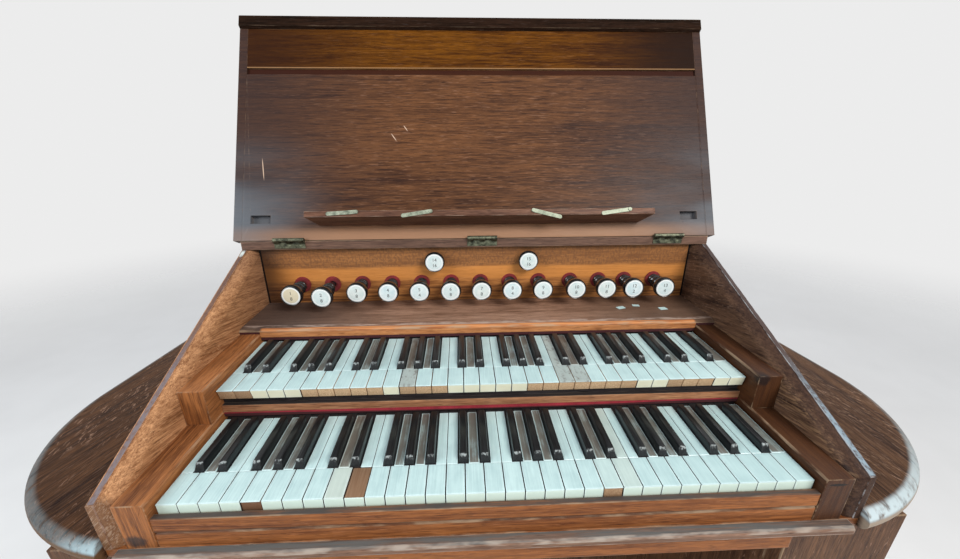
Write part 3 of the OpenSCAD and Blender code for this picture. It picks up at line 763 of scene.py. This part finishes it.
def felt(name, dark, light, shade_heights=()):
    """Felt, darkened with painted shade below some heights."""
    cloth = Finish(name)
    fibres = cloth.noise((0.0012, 0.0012, 0.0012), 3, 0.7)
    worn = cloth.noise((0.015, 0.015, 0.015), 2)
    colour = (fibres * 0.6 + worn * 0.4).ramp((0.3, dark), (0.7, light))
    # Painted shade below each height, higher towards the felt's ends
    for height in shade_heights:
        left = abs(cloth.along("X")).between(0.1, 0.36)
        low = 1 - (cloth.along("Z") - left * 0.003).between(height - 0.0008, height + 0.0008)
        colour = cloth.paint(colour, (0.02, 0.004, 0.005), low * 0.9)
    return cloth.finish(colour, 0.95, fibres, 0.0008, 0.6)


def metal(name, dark, light, roughness, metallic=0.85):
    """Tarnished metal with fine scuffs."""
    plate = Finish(name)
    tarnish = plate.noise((0.008, 0.008, 0.008), 4, 0.65)
    scuffs = plate.noise((0.006, 0.0008, 0.0008), 2)
    colour = tarnish.ramp((0.35, dark), (0.65, light))
    return plate.finish(colour, roughness + (tarnish - 0.5) * 0.4, scuffs, 0.0001, 0.3,
                        Metallic=metallic)


# Leaves out one step, so that the patterns of the finishes from here on stay where they are
Finish.made += 1
# Each rail felt's last value is the height below which it is painted in shade
rail_felt = {
    "manual_felt": felt("manual felt", (0.14, 0.005, 0.011), (0.4, 0.026, 0.042), (0.8945,)),
    "stop_felt": felt("stop felt", (0.2, 0.02, 0.03), (0.42, 0.07, 0.09), (0.9995,))}
ring_felt = felt("ring felt", (0.03, 0.004, 0.004), (0.3, 0.026, 0.03))
brass = metal("aged brass", (0.03, 0.033, 0.024), (0.2, 0.21, 0.14), 0.45)
nickel = metal("dull nickel", (0.12, 0.14, 0.1), (0.34, 0.37, 0.28), 0.5, 0.5)
# Near-black wood: painted shade on the upper key bed, which lies in shadow behind the rail between
# the manuals
shaded_key_bed_oak = oak("upper key bed oak, painted shade", (0.01, 0.008, 0.008), (0.026, 0.021, 0.021),
                 (0.055, 0.045, 0.045), wear=0.3, gloss=0.1)
lever_frame = oak("key frame pine", (0.28, 0.17, 0.09), (0.42, 0.28, 0.15), (0.5, 0.36, 0.2),
                  shine=0.0, rough=0.7)
for node, finish in rail_felt.items():
    board(node, finish, round_by=0.6, rim_width=1)
for node in ("rail_hinges", "lid_hinges"):
    dress(node, brass)
for node in ("clip_screws", "page_clip_1", "page_clip_2", "page_clip_3", "page_clip_4"):
    dress(node, nickel)
dress("lower_key_frame", lever_frame)
dress("upper_key_frame", shaded_key_bed_oak)


# Lid

def lid_block(name, low, high):
    """A cube between two corners in millimetres in the open lid's own frame."""
    piece = cube(name, Vector(low) / 1000, Vector(high) / 1000)
    piece.data.transform(Matrix.Translation(at(*LID_PIN)) @ Matrix.Rotation(-LID_LEAN, 4, "X"))
    return piece


LID_TURN = (-LID_LEAN, 0, 0)
LID_FACE = 4.6
# Across the lid, up along it, length and turn
SCRATCHES = ((-140, 220, 16, -0.6), (-163, 202, 21, -0.6), (-411, 139, 50, -0.1))
# The two ends of each empty mortise at the lid's foot
MORTISES = ((-432, -395), (396, 430))
# Up along the lid from its pins, in metres
LID_FOOT = (0.01, 0.034)
UPPER_BOARD_GROOVE = (0.329, 0.3425)
UPPER_BOARD_ARRIS = (0.3432, 0.3452)


def lid_marks(wood, colour):
    """A painted grey reflection in the lid's lower corners, darker sides, a warmer foot and a few
    pale scratches.
    """
    spot = wood.mapped((1, 1, 1), at(*LID_PIN), LID_TURN)
    side = abs(spot.part("X")).between(0.1, 0.46)
    colour = wood.paint(colour, (0.026, 0.014, 0.013), side * 0.8)
    # Painted reflection, grey, in the lower corners
    corner = abs(spot.part("X")).between(0.24, 0.5) * (1 - spot.part("Z").between(0.03, 0.24))
    corner_reflection = corner * wood.noise((0.2, 0.06, 0.06), 2).between(0.2, 0.65)
    colour = wood.paint(colour, (0.13, 0.15, 0.17), corner_reflection * 0.8)
    foot = (1 - spot.part("Z").between(*LID_FOOT)) * 0.8 * (1 - corner * 0.7)
    colour = wood.paint(colour, (0.37, 0.2, 0.115), foot)
    for x, rise, length, angle in SCRATCHES:
        turn = (Matrix.Rotation(-LID_LEAN, 3, "X") @ Matrix.Rotation(angle, 3, "Y")).to_euler()
        colour = scratch(wood, colour, on_lid(x, LID_FACE, rise), length, turn)
    return colour


def lid_ends(wood, colour):
    """Darkens the upper board's ends, and its groove with painted shade, under a pale arris."""
    end = abs(wood.along("X")).between(0.12, 0.44) * 0.85
    colour = wood.paint(colour, (0.022, 0.006, 0.002), end)
    right_end = wood.along("X").between(0.2, 0.46) * 0.8
    colour = wood.paint(colour, (0.01, 0.0035, 0.0015), right_end)
    rise = wood.mapped((1, 1, 1), at(*LID_PIN), LID_TURN).part("Z")
    # Painted shade in the groove
    colour = wood.paint(colour, (0.035, 0.01, 0.006), rise.band(*UPPER_BOARD_GROOVE, 0.0004) * 0.9)
    return wood.paint(colour, (0.4, 0.22, 0.1), rise.band(*UPPER_BOARD_ARRIS, 0.0006) * 0.6)


lid_wood = oak("lid oak", (0.032, 0.0105, 0.0045), (0.082, 0.028, 0.0095),
               (0.165, 0.066, 0.024), LID_TURN, worn=(0.3, 0.2, 0.13), wear=0.2, rough=0.55,
               dashes=0.5, gloss=0.12, streak=1.2, extra=lid_marks)
upper_board_wood = oak("lid upper oak", (0.036, 0.009, 0.0005), (0.08, 0.0205, 0.001),
                       (0.17, 0.058, 0.004), LID_TURN, wear=0.1, rough=0.6, gloss=0.05,
                       streak=1.2, extra=lid_ends)
lip_wood = oak("lid lip oak", (0.004, 0.002, 0.001), (0.01, 0.005, 0.003), (0.03, 0.014, 0.008),
               LID_TURN, wear=0.15, shine=0.0, rough=0.7, gloss=0.03)
ledge_wood = oak("music ledge oak", (0.04, 0.015, 0.01), (0.105, 0.044, 0.026),
                 (0.21, 0.1, 0.06), LID_TURN, worn=(0.42, 0.32, 0.24), wear=0.7, gloss=0.12)

panel = solid_copy("lid_panel", "lid_panel_board")
for low, high in MORTISES:
    cutter = lid_block("mortise", (low, -2, 33), (high, 16, 49))
    modify(panel, "BOOLEAN", object=cutter, operation="DIFFERENCE", solver="EXACT")
    bpy.data.objects.remove(cutter)
ease(panel, 0.4)
rim(panel, 3)
smooth(panel)
keep(panel, lid_wood, "lid", ["lid_panel"])
for node, finish, slot in (("lid_upper_board", upper_board_wood, "lid_upper_oak"),
                           ("lid_lip", lip_wood, "lid_oak"), ("lid_clamps", lid_wood, "lid_oak"),
                           ("music_ledge", ledge_wood, "lid_oak")):
    board(node, finish, "lid", round_by=0.4, rim_width=2)


# Keys

NOTCH = SHARP_WIDTH / 2 + KEY_GAP
PLATE = 1.3
PLATE_JOINT = 0.2
HEAD_INSET = 0.65
TAIL_REACH = 101
FACE_FRONT = 0.4
FACE_BACK = 1.4
FACE_DEPTH = 16.5
# In metres: a cut across a cap behind its nose, and how far back and down the nose is worn
NOSE_CUT = 0.0085
NOSE_WORN_BACK = 0.0062
NOSE_WORN_DOWN = 0.008
# Of the seven naturals from C to B, those with a sharp at the right and those with brown tails
WITH_SHARP = (0, 1, 3, 4, 5)
WITH_STAIN = (1, 4, 5)
# Values of "tone": on ivory 0 is white, over 0.7 yellow, over 0.9 dirty, and the last two are a
# face's, creamy and bright partly as the fronts' own colour and partly as painted light; on a
# lever 0 is pale, 1 brown and 2 black, where the tones over 1 are painted shade
TONE_SPREAD = (0.1, 0.5)
CHIP_TONE = 0.3
# Key fronts' tones: their own cream, made brighter as painted light
LOWER_LIT_FACE_TONE = 2.0
UPPER_LIT_FACE_TONE = 2.4
BARE_LEVER_TONE = 0.1
# Tones of painted shade: the wood under the key heads, seen in the gaps between keys, and the wood
# under the rails
SHADED_COVERED_LEVER_TONE = 1.6
SHADED_HIDDEN_LEVER_TONE = 2.0
TONE_SEED = 7


def left_edge(i):
    return (i - NATURALS / 2) * KEY_PITCH


def has_sharp(i):
    return 0 <= i < NATURALS - 1 and i % OCTAVE in WITH_SHARP


def sharp_middle(i):
    return left_edge(i + 1) + SHARP_SHIFTS[i % OCTAVE]


def tail_span(i):
    """The two sides of a natural's narrow part, between its sharps."""
    low = sharp_middle(i - 1) + NOTCH if has_sharp(i - 1) else left_edge(i) + KEY_GAP / 2
    high = sharp_middle(i) - NOTCH if has_sharp(i) else left_edge(i + 1) - KEY_GAP / 2
    return low, high


def ivory_material():
    """Lined ivory, yellowed, dirty or stained by its attributes, with painted light on the key
    fronts and painted shade on the lower keys' right part.
    """
    plate = Finish("key ivory", "y")
    tone = plate.attribute("tone")
    lines = plate.noise((0.06, 0.0016, 0.0016), 3, 0.6, 0.2)
    cloud = plate.noise((0.03, 0.02, 0.02), 3, 0.6)
    white = (lines * 0.5 + cloud * 0.5).ramp((0.3, (0.43, 0.61, 0.61)), (0.7, (0.64, 0.84, 0.82)))
    # Painted shade on the lower keys' right part
    lower = 1 - plate.along("Z").between(0.9, 0.92)
    right = plate.along("X").between(0.05, 0.38) * lower
    white = plate.paint(white, (0.34, 0.5, 0.5), right * 0.4)
    colour = plate.paint(white, (0.6, 0.52, 0.34), tone.band(0.7, 0.95, 0.2) * 0.7)
    # Key fronts: their own cream, made lighter as painted light
    colour = plate.paint(colour, (0.64, 0.76, 0.65), tone.between(1.6, 1.9) * 0.85)
    colour = plate.paint(colour, (0.84, 0.78, 0.56), tone.between(2.1, 2.3) * 0.85)
    edge = plate.attribute("wear")
    colour = plate.paint(colour, (0.75, 0.85, 0.85), edge.between(0.5, 1) * 0.35)
    dirty = tone.band(0.9, 1.6, 0.15)
    colour = plate.paint(colour, (0.36, 0.37, 0.33), dirty * 0.65)
    spots = plate.noise((0.012, 0.007, 0.007), 4, 0.7).between(0.5, 0.7) * dirty
    colour = plate.paint(colour, (0.16, 0.14, 0.12), spots * 0.8)
    brown = plate.attribute("stain") * (lines * 0.5 + cloud * 0.5).between(0.2, 0.55)
    colour = plate.paint(colour, (0.11, 0.08, 0.058), brown * 0.9)
    return plate.finish(colour, 0.3 + cloud * 0.12, lines, 0.0002, 0.25, Coat_Weight=0.15)


def lever_material():
    """Bare key wood, from pale to brown by its tone, and darkened to black as painted shade by
    tones over 1.
    """
    wood = Finish("key lever wood", "y")
    tone = wood.attribute("tone")
    lines = wood.noise((0.05, 0.002, 0.002), 3, 0.6)
    pale = lines.ramp((0.3, (0.44, 0.27, 0.14)), (0.7, (0.72, 0.5, 0.3)))
    colour = wood.paint(pale, (0.1, 0.035, 0.014), tone)
    # Painted shade: tones over 1 darken the wood to black
    colour = wood.paint(colour, (0.012, 0.009, 0.009), tone - 1)
    return wood.finish(colour, 0.65, lines, 0.0003, 0.4)


def ebony_material(name, rough=0.3, coat=0.1):
    """Black wood, rubbed grey where it wears."""
    wood = Finish(name, "y")
    lines = wood.noise((0.03, 0.0014, 0.0014), 3, 0.6)
    colour = lines.ramp((0.35, (0.003, 0.004, 0.005)), (0.75, (0.02, 0.023, 0.025)))
    rub = wood.attribute("wear") + (wood.noise((0.004, 0.003, 0.003), 3, 0.6) - 0.5) * 1.6
    rubbed = rub.between(0.75, 1.2)
    colour = wood.paint(colour, (0.44, 0.48, 0.47), rubbed * 0.7)
    return wood.finish(colour, rough + rubbed * 0.25 + (lines - 0.5) * 0.1, lines, 0.0002, 0.3,
                       Coat_Weight=coat, Coat_Roughness=0.1, Specular_IOR_Level=0.3)


key_ivory = ivory_material()
key_wood = lever_material()
key_ebony = ebony_material("key ebony")


def lean_back(piece, amount, only_front):
    """Moves a block's foot back, at its front only or as a whole."""
    low = min(v.co.z for v in piece.data.vertices) + 0.001
    near = min(v.co.y for v in piece.data.vertices) + (0.001 if only_front else 1)
    edit_where(piece, lambda place: place.z < low and place.y < near)
    bpy.ops.transform.translate(value=(0, amount / 1000, 0))
    done()


def keyboard(name, front, level, lean, cap_back, bare_fronts, bare_heads, tones, lever_tones):
    """All the keys of one manual: wood levers, ivory plates on them, and ebony sharps."""
    low, high = left_edge(0) + HEAD_INSET, left_edge(1) - HEAD_INSET
    steps = [(KEY_PITCH * i, 0, 0) for i in range(NATURALS)]
    head = block("head", (low, front, level - PLATE), (high, front + HEAD_LENGTH, level))
    ease(head, 0.5)
    rim(head, 2.2)
    heads = copies(head, steps)
    face = block("face", (low, front + FACE_FRONT, level - FACE_DEPTH),
                 (high, front + FACE_BACK, level - PLATE))
    lean_back(face, lean, False)
    ease(face, 0.25)
    rim(face, 1.6)
    faces = copies(face, steps)
    stock = block("stock", (low, front + FACE_BACK, level - LEVER_DEPTH),
                  (high, front + HEAD_LENGTH, level - PLATE))
    lean_back(stock, lean, True)
    ease(stock, 0.4)
    stocks = copies(stock, steps)
    chance = random.Random(TONE_SEED)
    ivories, levers = [], []
    for i in range(NATURALS):
        tone = tones.get(i, chance.uniform(*TONE_SPREAD))
        start, end = tail_span(i)
        tail = block("tail", (start, front + HEAD_LENGTH + PLATE_JOINT, level - PLATE),
                     (end, front + HEAD_LENGTH + TAIL_REACH, level))
        ease(tail, 0.4, 1)
        rim(tail, 1.6)
        mark(tail, "tone", tone)
        worn = tail.data.attributes["wear"].data
        brown = 1.0 if i % OCTAVE in WITH_STAIN else 0.0
        mark(tail, "stain", [brown * (1 - point.value) for point in worn])
        ivories.append(tail)
        bar = block("bar", (start, front + HEAD_LENGTH, level - LEVER_DEPTH),
                    (end, front + LEVER_LENGTH, level - PLATE))
        mark(bar, "tone", SHADED_HIDDEN_LEVER_TONE)
        usual = BARE_LEVER_TONE if i in bare_fronts else SHADED_COVERED_LEVER_TONE
        mark(stocks[i], "tone", lever_tones.get(i, usual))
        levers += [bar, stocks[i]]
        mark(heads[i], "tone", tone)
        mark(faces[i], "tone", UPPER_LIT_FACE_TONE if lean else LOWER_LIT_FACE_TONE)
        for plate, lost in ((heads[i], bare_heads), (faces[i], bare_fronts)):
            if i in lost:
                bpy.data.objects.remove(plate)
            else:
                ivories.append(plate)
    middle = sharp_middle(0)
    start = front + HEAD_LENGTH + KEY_GAP
    cap = block("cap", (middle - SHARP_WIDTH / 2, start, level - 2),
                (middle + SHARP_WIDTH / 2, front + cap_back, level + SHARP_HEIGHT))
    shape_sharp(cap, at(0, start, level + SHARP_HEIGHT))
    places = [i for i in range(NATURALS) if has_sharp(i)]
    caps = copies(cap, [(sharp_middle(i) - middle, 0, 0) for i in places])
    stem = block("stem", (middle - SHARP_WIDTH / 2, start, level - LEVER_DEPTH),
                 (middle + SHARP_WIDTH / 2, front + LEVER_LENGTH, level - 0.5))
    mark(stem, "tone", SHADED_HIDDEN_LEVER_TONE)
    levers += copies(stem, [(sharp_middle(i) - middle, 0, 0) for i in places])
    for piece, finish, slot, nodes in (
            (join(name + "_ivories", ivories), key_ivory, "ivory", [name + "_naturals"]),
            (join(name + "_levers", levers), key_wood, "key_wood", []),
            (join(name + "_ebonies", caps), key_ebony, "ebony", [name + "_sharps"])):
        smooth(piece)
        keep(piece, finish, nodes=nodes)


def shape_sharp(cap, top_front):
    """Narrows a sharp's cap upwards, moves its top back and rounds its edges."""
    edit_where(cap, lambda place: (place - top_front).z > -0.0001)
    centre = sum((v.co for v in cap.data.vertices), Vector()) / len(cap.data.vertices)
    bpy.ops.transform.resize(value=(SHARP_TOP_SHARE, 1, 1), center_override=centre)
    bpy.ops.transform.translate(value=(0, SHARP_SLOPE / 1000, 0))
    done()
    ease(cap, 1.1, 3)
    edit(cap)
    bpy.ops.mesh.select_all(action="SELECT")
    bpy.ops.mesh.bisect(plane_co=top_front + Vector((0, NOSE_CUT, 0)), plane_no=(0, 1, 0))
    done()
    places = [v.co - top_front for v in cap.data.vertices]
    mark(cap, "wear", [0.95 if place.y < NOSE_WORN_BACK and place.z > -NOSE_WORN_DOWN else 0.0
                       for place in places])


keyboard("lower", front=0, level=LOWER_LEVEL, lean=0, cap_back=134, bare_fronts=(4, 22),
         bare_heads=(9,), tones={8: 0.7, 22: 0.6, 23: 0.65},
         lever_tones={9: 0.75, 4: 0.9, 22: 0.5})
keyboard("upper", front=UPPER_SETBACK, level=UPPER_LEVEL, lean=3.5, cap_back=131,
         bare_fronts=(0, 1, *range(5, 10), 11, 12, 13, *range(19, 26), 28, 29, 30),
         bare_heads=(), tones={11: 1.2, 21: 1.2, 22: 1.2, 3: 0.3, 31: 0.55, 32: 0.6},
         lever_tones={0: 0.4, 1: 0.5, 5: 0.1, 6: 0.0, 7: 0.1, 8: 0.0, 9: 0.1, 11: 0.25, 12: 0.1,
                      25: 0.2, 28: 0.3, 30: 0.15})


CHIP_LEAN = 1.5
# Place across and back, width, depth and turn
IVORY_CHIPS = ((274, 352, 15, 11, 0.3), (307, 361, 13, 9, -0.2), (354, 344, 14, 12, 0.15))


def ivory_chips():
    """Three loose chips of ivory that lie on the stop shelf."""
    chips = []
    for x, y, width, depth, turn in IVORY_CHIPS:
        chip = block("chip", (-width / 2, MIDDLE_DEPTH - depth / 2, 0),
                     (width / 2, MIDDLE_DEPTH + depth / 2, PLATE))
        lean_back(chip, CHIP_LEAN, False)
        chip.data.transform(Matrix.Translation(at(x, y, STOP_SHELF_TOP))
                            @ Matrix.Rotation(turn, 4, "Z"))
        ease(chip, 0.3)
        mark(chip, "tone", CHIP_TONE)
        chips.append(chip)
    keep(join("ivory_chips", chips), key_ivory)


ivory_chips()


# Stops

# Turned outlines: radius and distance from the seat
LONG_HEAD = ((0, -79.3), (6, -79.3), (6, 0), (10.6, 0), (11, 0.5), (11, 3.4), (10.4, 4),
             (9.2, 5), (8.7, 7), (9.2, 10), (10.5, 11), (12.6, 12), (13, 13.4), (12.6, 15),
             (10.6, 16), (9.9, 18), (10.2, 21), (11.4, 24.5), (14.3, 26.6), (15, 28.5),
             (14.4, 30.4), (12.8, 32), (13.3, 35), (15.6, 38), (18.4, 41), (19.7, 43.4),
             (20, 46.5), (19.6, 50), (18.8, 52.6), (18, 53.7), (17.5, 53.4), (17.5, 51.6),
             (0, 51.6))
SHORT_HEAD = ((0, -76.3), (6, -76.3), (6, 0), (13.6, 0), (14, 0.6), (14, 3.4), (13.4, 4),
              (12.2, 5.4), (13, 7.4), (16, 9.6), (18.8, 11.6), (20, 14), (20, 17), (19.4, 19.6),
              (18.6, 21), (18, 21.7), (17.5, 21.4), (17.5, 19.6), (0, 19.6))
RING_OUTLINE = ((6.6, 0.1), (15.2, 0.1), (15.9, 0.8), (16, 1.6), (15.6, 2.5), (14.6, 2.95),
                (11, 3.0), (7.4, 2.95), (6.6, 2.4), (6.6, 0.1))
# A head's ivory disc: radius and distance from the rim
DISC_OUTLINE = ((0, -1), (17.4, -1), (17.4, 0.2), (16.9, 0.6), (14.8, 0.8), (13.4, 0.9), (6, 1.2),
                (0, 1.3))
DISC_RIM_FROM = 0.0145
NUMBER_SIZE = 9
NUMBER_DEPTH = 0.08
NUMBER_RISE = 1.25
LOWER_STOPS = range(1, 14)
UPPER_STOPS = range(14, 16)
MIDDLE_STOP = 7
UPPER_COLUMNS = {14: -1.5, 15: 1.5}
RING_SEAT = 3.3
JAMB_SEAT = 0.3
# How far the stops that aren't pushed in are drawn
DRAWN = {1: 8, 2: 20}
YELLOWED_STOP = 1
PITCHES = (8, 8, 8, 8, 4, 8, 8, 4, 8, 8, 8, 2, 4, 16, 16)


def stop_place(i):
    """Where a stop's seat is, on the jamb or on its felt ring."""
    lower = i in LOWER_STOPS
    column = i - MIDDLE_STOP if lower else UPPER_COLUMNS[i]
    seat = (RING_SEAT if lower else JAMB_SEAT) + DRAWN.get(i, 0)
    return at(STOP_SHIFT + STOP_NUDGES.get(i, 0) + STOP_PITCH * column, JAMB_FRONT - seat,
              STOP_HEIGHTS[0 if lower else 1])


def disc_material():
    """Ivory of the stop heads, yellowed by its tone and whiter at its rim."""
    disc = Finish("stop ivory")
    tone = disc.attribute("tone")
    cloud = disc.noise((0.008, 0.008, 0.008), 3, 0.6)
    white = cloud.ramp((0.3, (0.52, 0.68, 0.72)), (0.7, (0.72, 0.82, 0.84)))
    colour = disc.paint(white, (0.68, 0.58, 0.38), tone)
    colour = disc.paint(colour, (0.88, 0.9, 0.88), disc.attribute("wear").between(0.2, 0.8) * 0.9)
    return disc.finish(colour, 0.32, cloud, 0.0001, 0.2, Coat_Weight=0.2)


def ink_material():
    ink = Finish("engraved black")
    grain = ink.noise((0.002, 0.002, 0.002), 2)
    return ink.finish(grain.ramp((0.3, (0.02, 0.02, 0.022)), (0.7, (0.05, 0.048, 0.045))), 0.6)


knob_ebony = ebony_material("stop ebony", rough=0.13, coat=0.7)
stop_ivory = disc_material()
ink = ink_material()


def numeral(text, place):
    """A plain number as a thin mesh in the XY plane."""
    deselect()
    bpy.ops.object.text_add()
    piece = bpy.context.object
    piece.data.body = text
    piece.data.size = NUMBER_SIZE / 1000
    piece.data.align_x = "CENTER"
    piece.data.align_y = "CENTER"
    piece.data.extrude = NUMBER_DEPTH / 1000
    piece.data.resolution_u = 3
    bpy.ops.object.convert(target="MESH")
    piece = bpy.context.object
    piece.data.transform(Matrix.Translation(Vector(place) / 1000))
    piece.data.materials.clear()
    piece.data.materials.append(ink)
    return piece


def knob_master(outline):
    """A turned head with its shank, worn on its top."""
    knob = turned("knob", outline)
    top = max(height for radius, height in outline) / 1000
    mark(knob, "wear", [0.55 if v.co.z > top - 0.001 else 0.0 for v in knob.data.vertices])
    smooth(knob, 50)
    return knob


def disc_master(face):
    """A low-domed disc that lies in a knob's rim."""
    disc = turned("disc", [(radius, face + rise) for radius, rise in DISC_OUTLINE])
    mark(disc, "wear", [float(v.co.xy.length > DISC_RIM_FROM) for v in disc.data.vertices])
    smooth(disc, 50)
    return disc


def stops():
    """Each drawstop's turned head and the ivory disc in it, with its number over its pitch."""
    for outline, numbers in ((LONG_HEAD, LOWER_STOPS), (SHORT_HEAD, UPPER_STOPS)):
        face = outline[-1][1]
        knob, disc = knob_master(outline), disc_master(face)
        for i in numbers:
            stop = "drawstop_%02d" % i
            place = Matrix.Translation(stop_place(i)) @ Matrix.Rotation(pi / 2, 4, "X")
            head = add("stop_knob_%02d" % i, knob.data.copy())
            head.data.transform(place)
            keep(head, knob_ebony, stop, [stop])
            plate = add("plate", disc.data.copy())
            plate.data.materials.append(stop_ivory)
            parts = [plate, numeral(str(i), (0, 5, face + NUMBER_RISE)),
                     numeral(str(PITCHES[i - 1]), (0, -6, face + NUMBER_RISE))]
            mark(plate, "tone", 0.85 if i == YELLOWED_STOP else 0.1 + 0.05 * (i % 4))
            plate = join("stop_face_%02d" % i, parts)
            plate.data.transform(place)
            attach(plate, stop)
        bpy.data.objects.remove(knob)
        bpy.data.objects.remove(disc)


stops()


def felt_rings():
    """Thick soft washers round the lower stops' shanks."""
    ring = turned("ring", RING_OUTLINE)
    ring.data.transform(Matrix.Rotation(pi / 2, 4, "X"))
    places = []
    for i in LOWER_STOPS:
        place = stop_place(i) * 1000
        places.append((place.x, JAMB_FRONT - MIDDLE_DEPTH, place.z))
    rings = join("felt_washers", copies(ring, places))
    smooth(rings, 50)
    keep(rings, ring_felt, nodes=["felt_rings"])


felt_rings()


# Hinge screws

SCREW_OUTLINE = ((0, 0.9), (1.2, 0.7), (1.9, 0.3), (2.1, -0.4), (0, -0.4))
SCREW_STEPS = (-20, 0, 20)
LEAF_FRONT = 398.5
SCREW_HEIGHT = 1086


def hinge_screws():
    """Three screws in each hinge's leaf on the hinge rail."""
    screw = turned("screw", SCREW_OUTLINE, 20)
    screw.data.transform(Matrix.Rotation(pi / 2, 4, "X"))
    places = [at(HINGE_SHIFT + side * HINGE_SPREAD + step, LEAF_FRONT, SCREW_HEIGHT) * 1000
              for side in (-1, 0, 1) for step in SCREW_STEPS]
    screws = join("hinge_screws", copies(screw, places))
    smooth(screws, 50)
    keep(screws, brass)


hinge_screws()
